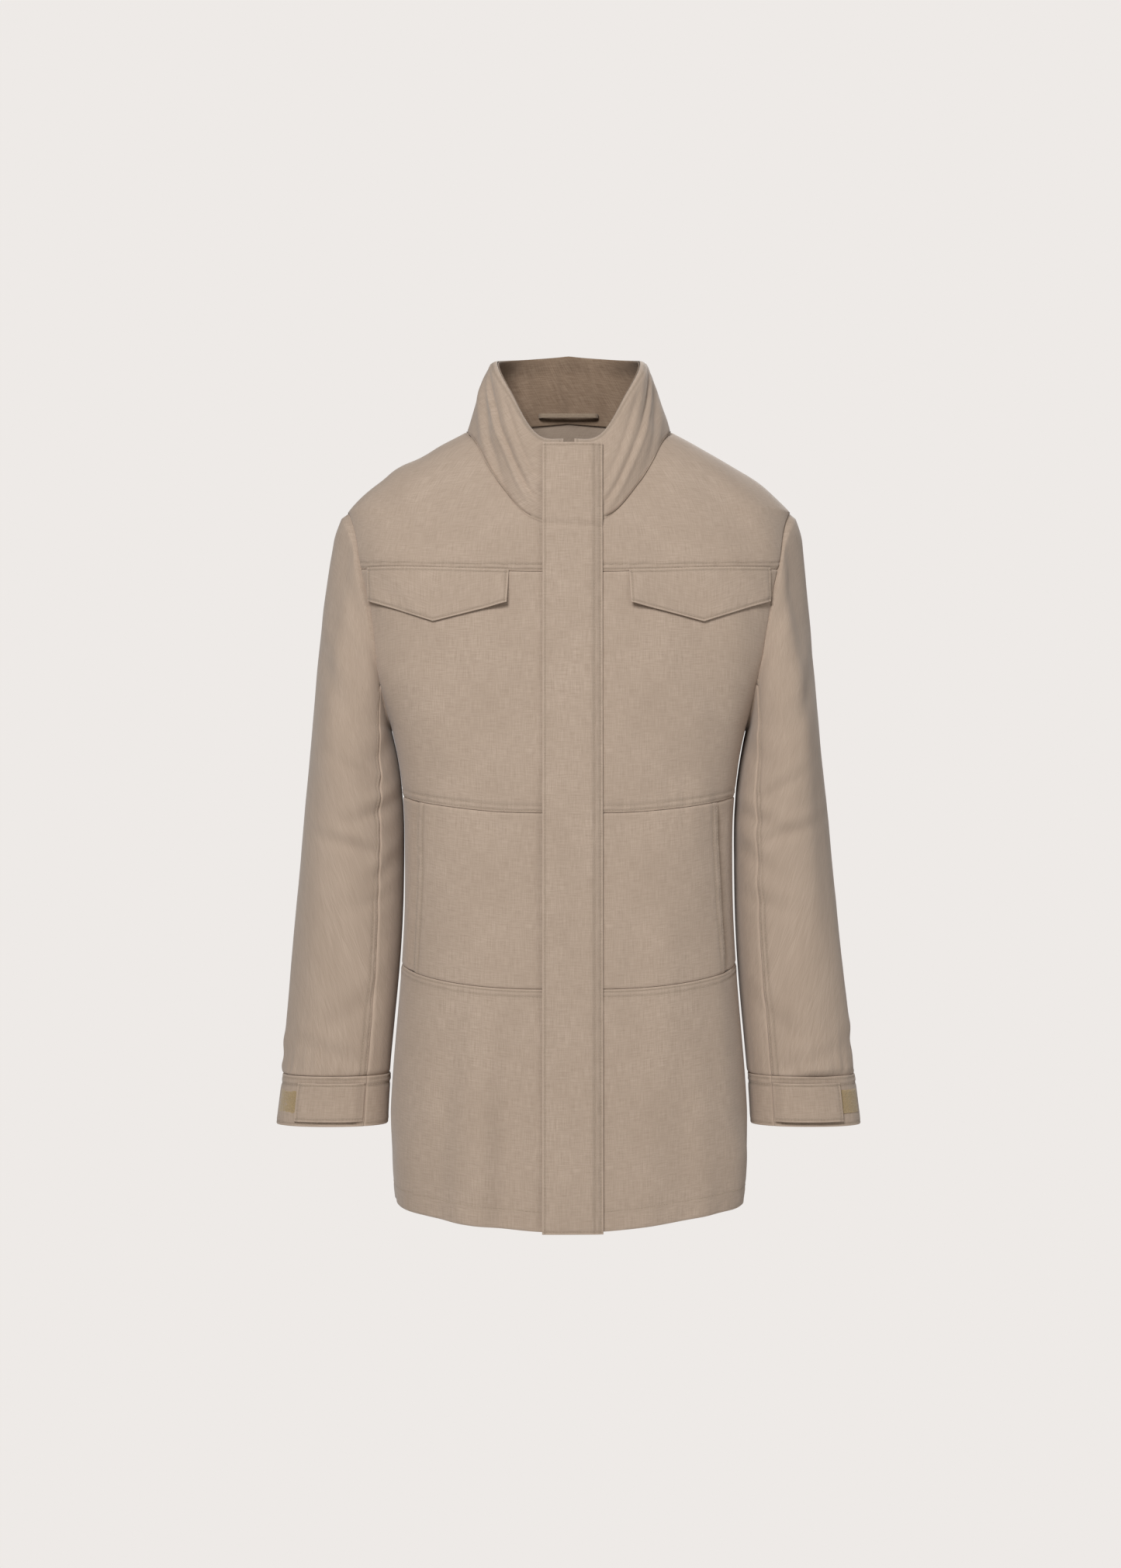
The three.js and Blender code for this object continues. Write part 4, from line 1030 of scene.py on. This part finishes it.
# ---------------------------------------------------------------- pockets
# Flat bags of cotton pocketing behind the chest flaps and the waist panels, sewn shut round three sides and
# open at the mouth: along the yoke seam for the chest, and behind the waist panel's free edge for the hands.
BAG_FACE, CHEST_BAG, HAND_BAG, BAG_WALL = UNDER_SHELL + 1.3, 4.6, 5.9, 1.0
CHEST_BAG_WIDTH, CHEST_BAG_TALL = 110, 125
# Close, plain cotton pocketing, paler than the shell and quite matt.
pocketing = woven("cotton_pocketing", "#a39384", "#8b7b6d", slub=0.0008, relief=0.0001)


def inward(angle, z, depth):
    du = body(angle + 0.05, z) - body(angle - 0.05, z)
    dv = body(angle, z + 0.05) - body(angle, z - 0.05)
    n = np.cross(du, dv)
    n /= np.linalg.norm(n, axis=-1, keepdims=True)
    p = body(angle, z)
    return p + n * (body_folds(p) - depth)[..., None]


def pocket_bag(name, across, along, width, deep, mirror):
    """Two walls joined round the edge.

    across and along give (angle, z) shares from edge to edge and mouth to foot.
    """
    columns, rows = 22, 26

    def wall(t, inset):
        s = lerp(inset / width, 1 - inset / width, np.linspace(0, 1, columns + 1))
        t = np.full_like(s, t)
        soft = 0.35 * np.sin(np.pi * s) * lattice(np.stack([s * 6, t * 7, 0 * s], -1), 91)
        pinched = 1.0 * (1 - smooth(np.minimum(s, 1 - s) / 0.16))
        angle, z = across(s, t), along(s, t)
        angle, z = np.broadcast_to(angle, s.shape), np.broadcast_to(z, s.shape)
        face = inward(angle, z, BAG_FACE + inset + soft + pinched)
        return np.concatenate([face, inward(angle, z, deep - inset + soft - 0.3 * pinched)[::-1]])

    rings = [wall(0.985 * k / rows, BAG_WALL) for k in range(rows, -1, -1)]
    rings += [wall(k / rows, 0) for k in range(rows + 1)]
    points = np.array(rings)
    if mirror:
        points[..., 0] *= -1
    count, size = points.shape[:2]
    index = np.arange(count * size).reshape(count, size)
    after = np.roll(index, -1, axis=1)
    quads = np.stack([index[:-1], after[:-1], after[1:], index[1:]], -1).reshape(-1, 4)
    half = size // 2
    caps = []
    for ring, turn in ((0, 1), (count - 1, -1)):
        front, back = index[ring, :half], index[ring, half:][::-1]
        cap = np.stack([front[:-1], front[1:], back[1:], back[:-1]], -1)
        caps.append(cap[:, ::turn])
    faces = np.concatenate([quads[:, ::-1], *caps])
    if mirror:
        faces = faces[:, ::-1]
    flat = np.stack(np.meshgrid(np.arange(count) * 4.0, np.arange(size) * 5.0, indexing="ij"), -1)
    return raw_mesh(name, points.reshape(-1, 3), faces, flat.reshape(-1, 2))


HAND_MOUTH, HAND_BOTTOM = POCKET_LINE - 3.4, 36
HAND_LOW, HAND_HIGH = -LOWER_DROP + 14, -WAIST_DROP - 8
for side, sign in sides:
    node_name = side + "_hand_pocket_bag"
    bag = pocket_bag(
        node_name + "_cloth", lambda s, t: lerp(HAND_MOUTH, HAND_BOTTOM, t), lambda s,
        t: lerp(HAND_LOW, HAND_HIGH, s),
        HAND_HIGH - HAND_LOW, BAG_FACE + HAND_BAG, sign < 0,
    )
    finish_piece(bag, pocketing, "jacket", [node_name])
    node_name = side + "_chest_pocket_bag"
    top = -YOKE_DROP - MOUTH_DIP
    bag = pocket_bag(
        node_name + "_cloth", lambda s, t: lerp(MOUTH_FROM - 1, MOUTH_TO + 1, s),
        lambda s, t: lerp(top, top - CHEST_BAG_TALL, t),
        CHEST_BAG_WIDTH, BAG_FACE + CHEST_BAG, sign < 0,
    )
    finish_piece(bag, pocketing, "jacket", [node_name])

# ---------------------------------------------------------------- front closure
# A two-row brass zip on woven tapes, a storm flap over it sewn down on the wearer's left, and a guard behind.
# Places here are (across, out of the cloth, up the front edge).
LEAN = math.atan(FRONT_LEAN)
UP = np.array([0, math.sin(LEAN), math.cos(LEAN)])
OUT = np.array([0, -math.cos(LEAN), math.sin(LEAN)])
FRONT_TOP = np.array([0, -COLLAR_FRONT, -COLLAR_FRONT_DROP])
FRONT_LENGTH = (BODY_LENGTH + FRONT_DIP - COLLAR_FRONT_DROP) * math.hypot(1, FRONT_LEAN)
ZIP_TOP, ZIP_BOTTOM = -5, -FRONT_LENGTH + 62
TEETH_IN, TEETH_OUT, TEETH_THICK, TEETH_DEPTH = 0.7, 3.1, 2.6, 1.7
TAPE_THICK, TAPE_DEPTH = 0.8, 2.6
FLAP_FREE, FLAP_SEWN, FRONT_FLAP, FLAP_OFF = -27, 34.5, 2.2, 4.6
GUARD_HALF, GUARD_DEPTH, GUARD_THICK = 22, 7, 1.6
# Zip tape and the hanger's tape: tight tonal polyester, a little smoother than the shell.
tape_weave = woven("tonal_polyester_tape", "#a6947f", "#8b7967", slub=0.0009, length=0.004, rough=0.7)


def metal(name, bright, dull, rough):
    """Antiqued brass: dark lacquer rubbed to bare metal in patches."""
    made = bpy.data.materials.new(name)
    made.use_nodes = True
    tree = made.node_tree
    shader = tree.nodes["Principled BSDF"]
    shader.inputs["Metallic"].default_value = 1.0
    place = node(tree, "ShaderNodeTexCoord").outputs["Object"]
    patches = node(tree, "ShaderNodeTexNoise", [("Vector", place)], in_2=420.0, in_3=4.0)
    tone = node(tree, "ShaderNodeMix", [(0, patches.outputs[0])], data_type="RGBA")
    tone.inputs[6].default_value, tone.inputs[7].default_value = linear(dull), linear(bright)
    tree.links.new(tone.outputs[2], shader.inputs["Base Color"])
    gloss = node(
        tree, "ShaderNodeMapRange", [("Value", patches.outputs[0])], in_3=rough + 0.15, in_4=rough - 0.1
    )
    tree.links.new(gloss.outputs[0], shader.inputs["Roughness"])
    bump = node(tree, "ShaderNodeBump", [("Height", patches.outputs[0])], in_0=0.2, in_1=0.00008)
    tree.links.new(bump.outputs[0], shader.inputs["Normal"])
    return made


# Cast and stamped brass, blackened and then rubbed, so that it glints only on its worn patches.
antique_brass = metal("antiqued_brass", "#a58a5e", "#4b3f30", 0.38)


def on_front(x, out, up):
    x, out, up = np.broadcast_arrays(x, out, up)
    return FRONT_TOP + x[..., None] * np.array([1, 0, 0]) + out[..., None] * OUT + up[..., None] * UP


def front_strip(x0, x1, low, high):
    return lambda u, v: on_front(lerp(x0, x1, u), 0 * u, lerp(low, high, v))


# Heights of the creases that cross the storm flap, down from its top.
FLAP_CREASES = (-262, -385, -402, -566)


def storm_lift(u, v, p):
    """The flap comes down to the cloth at its sewn edge, and its free edge waves a little."""
    x, up = lerp(FLAP_FREE, FLAP_SEWN, u), lerp(-FRONT_LENGTH, 0, v)
    down = 3.6 * smooth((x - 22) / 12.5)
    wave = lattice(np.stack([x / 60, 0 * x, up / 78], -1), 101) * 2.6 * smooth((20 - x) / 40)
    ripple = lattice(np.stack([x / 22, 0 * x, up / 26], -1), 103) * 0.35
    crease = -0.7 * sum(np.exp(-(((up - at + 0.22 * x) / 5) ** 2)) for at in FLAP_CREASES)
    turned = -1.5 * np.exp(-(((up + 86 + 0.05 * x) / 3.2) ** 2)) + 0.8 * np.exp(-(((up + 78) / 4) ** 2))
    return FLAP_OFF + FRONT_FLAP - down + wave + ripple + turned + crease * smooth((x + 30) / 20)


storm_seams = {"end": (2.6, 8.4), "start": (2.6,), "foot": (2.6,), "head": (2.6,)}
panel = Panel(
    front_strip(FLAP_FREE, FLAP_SEWN, -FRONT_LENGTH - 1.2, -0.5), pitch=2.6, lift=storm_lift,
    stitched=storm_seams,
    roll=0.7, seed=23,
)
finish_piece(sew("storm_flap_cloth", panel, 2.0), stone_cotton, "storm_flap", ["storm_flap"])
stitching["storm_flap"] = [stitch_path(panel, e, at) for e in storm_seams for at in storm_seams[e]]

panel = Panel(
    front_strip(FLAP_SEWN - 6, FLAP_SEWN, -FRONT_LENGTH + 3, -NECK_DROP + 10), pitch=3, roll=0.3,
    lift=lambda u, v, p: 2.6 - 1.4 * u,
)
finish_piece(
    sew("storm_flap_welt_cloth", panel, 1.6), stone_cotton, "jacket", ["storm_flap_welt"]
)

panel = Panel(
    front_strip(-GUARD_HALF, GUARD_HALF + 2, -FRONT_LENGTH + 6, -3), pitch=3.2, roll=0.4,
    stitched={"start": (3,), "head": (3,), "foot": (3,)},
    lift=lambda u, v, p: -GUARD_DEPTH + 0.5 * drape(p, 0.4, 105) + 2.4 * smooth((u - 0.88) / 0.1),
)
finish_piece(sew("zip_guard_cloth", panel, GUARD_THICK), shade_painted_facing_cotton, "jacket", ["zip_guard"])
stitching["jacket"] += [stitch_path(panel, "start", 3), stitch_path(panel, "head", 3)]

TOOTH_PITCH, TOOTH_TALL = 2.5, 1.35
for side, sign in sides:
    ups = np.arange(ZIP_BOTTOM + 2, ZIP_TOP - 1, TOOTH_PITCH) + (TOOTH_PITCH / 2 if sign > 0 else 0)
    points, faces = [], []
    profile = (
        (TEETH_OUT, -0.5), (TEETH_OUT, 0.5), (1.6, 0.5), (TEETH_IN, 0.32), (TEETH_IN, -0.32), (1.6, -0.5)
    )
    bevel = ((0.0, 0.82), (0.18, 1.0), (0.82, 1.0), (1.0, 0.82))
    size = len(profile)
    for k, up in enumerate(ups):
        base = k * size * len(bevel)
        for depth, narrow in bevel:
            for x, tall in profile:
                points.append((
                    sign * (TEETH_OUT + (x - TEETH_OUT) * narrow), -TEETH_DEPTH - TEETH_THICK * depth,
                    up + tall * TOOTH_TALL * narrow
                ))
        for r in range(len(bevel) - 1):
            for i in range(size):
                j = (i + 1) % size
                lower, upper = base + r * size, base + (r + 1) * size
                faces.append((lower + i, lower + j, upper + j, upper + i))
        last = base + (len(bevel) - 1) * size
        faces += [(base + 3, base + 2, base + 1, base), (base + 5, base + 4, base + 3, base)]
        faces += [(last, last + 1, last + 2, last + 3), (last, last + 3, last + 4, last + 5)]
    points = np.array(points)
    world = on_front(points[:, 0], points[:, 1], points[:, 2])
    faces = np.array(faces)
    obj = raw_mesh(
        side + "_zip_teeth_brass", world, faces[:, ::-1] if sign > 0 else faces, points[:, [0, 2]], False
    )
    finish_piece(obj, antique_brass, "jacket", [side + "_zip_teeth"])
    inner, outer = sorted((sign * (TEETH_OUT + 0.3), sign * TAPE_OUT))
    panel = Panel(
        front_strip(inner, outer, ZIP_BOTTOM - 4, ZIP_TOP + 2), pitch=2.5, roll=0.15,
        lift=lambda u, v, p: -TAPE_DEPTH + 0.12 * np.sin(u * 40),
    )
    tape = sew(side + "_zip_tape_weave", panel, TAPE_THICK)
    finish_piece(tape, tape_weave, "jacket", [side + "_zip_tape"])

for name in ("zip_bottom_box", "zip_top_stop", "zip_slider", "zip_pull"):
    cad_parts[name].data.materials.clear()
    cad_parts[name].data.materials.append(antique_brass)

# ---------------------------------------------------------------- hanger loop
# A flat rouleau of tonal tape across the inside of the back neck, square in section. Both its ends turn back
# and are stitched down to the collar's facing, and the jacket hangs by it.
LOOP_TAPE, LOOP_TALL, LOOP_BEND = 2.6, 5, 4
low, high = (np.array(c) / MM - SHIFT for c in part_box("hanger_loop"))
half_tape = LOOP_TAPE / 2
left_x, right_x, near, far = low[0] + half_tape, high[0] - half_tape, low[1] + half_tape, high[1]
bend = LOOP_BEND
quarter = np.linspace(0, np.pi / 2, 7)
route = [(left_x, y) for y in np.linspace(far, near + bend, 4)[:-1]]
route += [(left_x + bend - bend * math.cos(a), near + bend - bend * math.sin(a)) for a in quarter]
route += [(x, near) for x in np.linspace(left_x + bend, right_x - bend, 24)[1:-1]]
route += [(right_x - bend + bend * math.sin(a), near + bend - bend * math.cos(a)) for a in quarter]
route += [(right_x, y) for y in np.linspace(near + bend, far, 4)[1:]]
route = np.array(route)
ahead = np.gradient(route, axis=0)
ahead /= np.linalg.norm(ahead, axis=1, keepdims=True)
across = np.stack([-ahead[:, 1], ahead[:, 0]], -1)
turn = np.arange(16) * np.pi / 8
cos, sin = np.cos(turn), np.sin(turn)
square = np.stack([np.sign(cos) * np.abs(cos) ** 0.35, np.sign(sin) * np.abs(sin) ** 0.35], -1)
points = np.zeros((len(route), 16, 3))
points[..., :2] = route[:, None] + across[:, None] * square[None, :, :1] * half_tape
points[..., 2] = (low[2] + high[2]) / 2 + square[None, :, 1] * LOOP_TALL / 2
index = np.arange(len(route) * 16).reshape(-1, 16)
after = np.roll(index, -1, axis=1)
quads = np.stack([index[:-1], index[1:], after[1:], after[:-1]], -1).reshape(-1, 4)
ends = []
for ring, way in ((index[0], 1), (index[-1], -1)):
    ends += [[ring[k], ring[k + 1], ring[14 - k], ring[15 - k]][::way] for k in range(7)]
flat = np.stack(np.meshgrid(np.arange(len(route)) * 2.5, np.arange(16) * 1.0, indexing="ij"), -1)
obj = raw_mesh(
    "hanger_loop_tape", points.reshape(-1, 3), np.concatenate([quads, np.array(ends)]), flat.reshape(-1, 2)
)
finish_piece(obj, tape_weave, "jacket", ["hanger_loop"])

# ---------------------------------------------------------------- topstitching thread
# Tonal polyester thread, three stitches to the centimetre, beside the seams and round flaps, tabs and collar.
# Each stitch is a short rounded bar lying in the dip that it pulls into the cloth.
STITCH_PITCH, STITCH_LENGTH, THREAD = 3.4, 2.7, 0.34
# Spun polyester, a little paler and glossier than the cloth.
thread_tone = woven(
    "tonal_polyester_thread", "#bba994", "#a5937f", slub=0.0005, length=0.0009, rough=0.55, relief=0.00003
)


def thread_mesh(name, paths, pitch=STITCH_PITCH, thread=THREAD):
    """One short rounded stitch after another along each path."""
    sides, rings = 6, np.array([[-0.5, 0.15], [-0.36, 0.85], [0, 1.0], [0.36, 0.85], [0.5, 0.15]])
    verts, faces, flats = [], [], []
    base = 0
    turn = np.arange(sides) * 2 * np.pi / sides
    for p, n in paths:
        if len(p) < 2:
            continue
        run = np.r_[0, np.cumsum(np.linalg.norm(np.diff(p, axis=0), axis=1))]
        middles = np.arange(pitch, run[-1] - pitch / 2, pitch)
        if not len(middles):
            continue
        mid = np.stack([np.interp(middles, run, p[:, k]) for k in range(3)], -1)
        ahead = np.stack([np.interp(middles + 0.8, run, p[:, k]) for k in range(3)], -1)
        behind = np.stack([np.interp(middles - 0.8, run, p[:, k]) for k in range(3)], -1)
        out = np.stack([np.interp(middles, run, n[:, k]) for k in range(3)], -1)
        way = ahead - behind
        way /= np.maximum(np.linalg.norm(way, axis=1, keepdims=True), 1e-6)
        out -= way * np.sum(out * way, 1, keepdims=True)
        out /= np.maximum(np.linalg.norm(out, axis=1, keepdims=True), 1e-6)
        across = np.cross(way, out)
        ring = (
            across[:, None, None] * (np.cos(turn)[None, None, :, None] * rings[None, :, 1, None, None])
            + out[:, None, None] * (0.75 * np.sin(turn)[None, None, :, None] * rings[None, :, 1, None, None])
        ) * thread
        spine = way[:, None] * (rings[None, :, 0, None] * STITCH_LENGTH * pitch / STITCH_PITCH)
        sag = out[:, None] * (0.1 - 0.5 * np.abs(rings[None, :, 0, None]) ** 2)
        all_points = mid[:, None, None] + spine[:, :, None] + sag[:, :, None] + ring
        count = len(middles)
        run_at = np.broadcast_to(
            middles[:, None, None] + rings[None, :, :1] * pitch, (count, len(rings), sides)
        )
        verts.append(all_points.reshape(-1, 3))
        flats.append(np.stack([run_at.ravel(), np.tile(turn, count * len(rings))], -1))
        one = []
        for r in range(len(rings) - 1):
            for s in range(sides):
                t = (s + 1) % sides
                one.append([r * sides + s, r * sides + t, (r + 1) * sides + t, (r + 1) * sides + s])
        one = np.array(one)[None] + (base + np.arange(count) * sides * len(rings))[:, None, None]
        faces.append(one.reshape(-1, 4))
        base += count * sides * len(rings)
    return raw_mesh(name, np.concatenate(verts), np.concatenate(faces), np.concatenate(flats))


for name, paths in stitching.items():
    sleeve_of = name.split("_")[0] if name.endswith("_sleeve") else None
    finish_piece(
        thread_mesh(name + "_topstitching", paths), thread_tone, name,
        bend=bends.get(sleeve_of)
    )

# ---------------------------------------------------------------- studio
# A plain pale floor well below the hanging jacket, a pale surround and broad soft lights.
pale = bpy.data.materials.new("pale_floor")
pale.use_nodes = True
pale.node_tree.nodes["Principled BSDF"].inputs["Base Color"].default_value = linear("#eeeae7")
pale.node_tree.nodes["Principled BSDF"].inputs["Roughness"].default_value = 0.9
bpy.ops.mesh.primitive_plane_add(size=3, location=(0, 0, -1.66))
floor = bpy.context.object
floor.name = "floor"
floor.data.materials.append(pale)

world = bpy.data.worlds.new("pale_surround")
bpy.context.scene.world = world
world.use_nodes = True
world.node_tree.nodes["Background"].inputs["Color"].default_value = linear("#eeeae7")
world.node_tree.nodes["Background"].inputs["Strength"].default_value = 1.0
room = node(world.node_tree, "ShaderNodeBackground", in_0=linear("#f4efe9"), in_1=0.24)
seen = node(world.node_tree, "ShaderNodeLightPath").outputs["Is Camera Ray"]
surround = node(
    world.node_tree, "ShaderNodeMixShader",
    [(0, seen), (1, room.outputs[0]), (2, world.node_tree.nodes["Background"].outputs[0])],
)
world.node_tree.links.new(surround.outputs[0], world.node_tree.nodes["World Output"].inputs["Surface"])
CHEST = np.array([0, -0.05, -0.4])
for name, place, size, power in (
    ("key_light", (-0.7, -3.1, 1.3), 1.1, 90),
    ("fill_light", (1.9, -2.9, 0.2), 1.6, 12),
    ("back_light", (0.9, 2.6, 1.5), 1.6, 62),
):
    light = bpy.data.lights.new(name, "AREA")
    light.size, light.energy = size, power
    lamp = bpy.data.objects.new(name, light)
    lamp.location = place
    lamp.rotation_euler = Vector(CHEST - np.array(place)).to_track_quat("-Z", "Y").to_euler()
    bpy.context.scene.collection.objects.link(lamp)

camera = bpy.data.objects.new("camera", bpy.data.cameras.new("camera"))
camera.location = (-0.0086, -3.047, -0.3925)
camera.rotation_euler = (math.pi / 2, 0, 0)
camera.data.lens = 65.2
bpy.context.scene.collection.objects.link(camera)
bpy.context.scene.camera = camera
bpy.context.scene.view_settings.view_transform = "Standard"
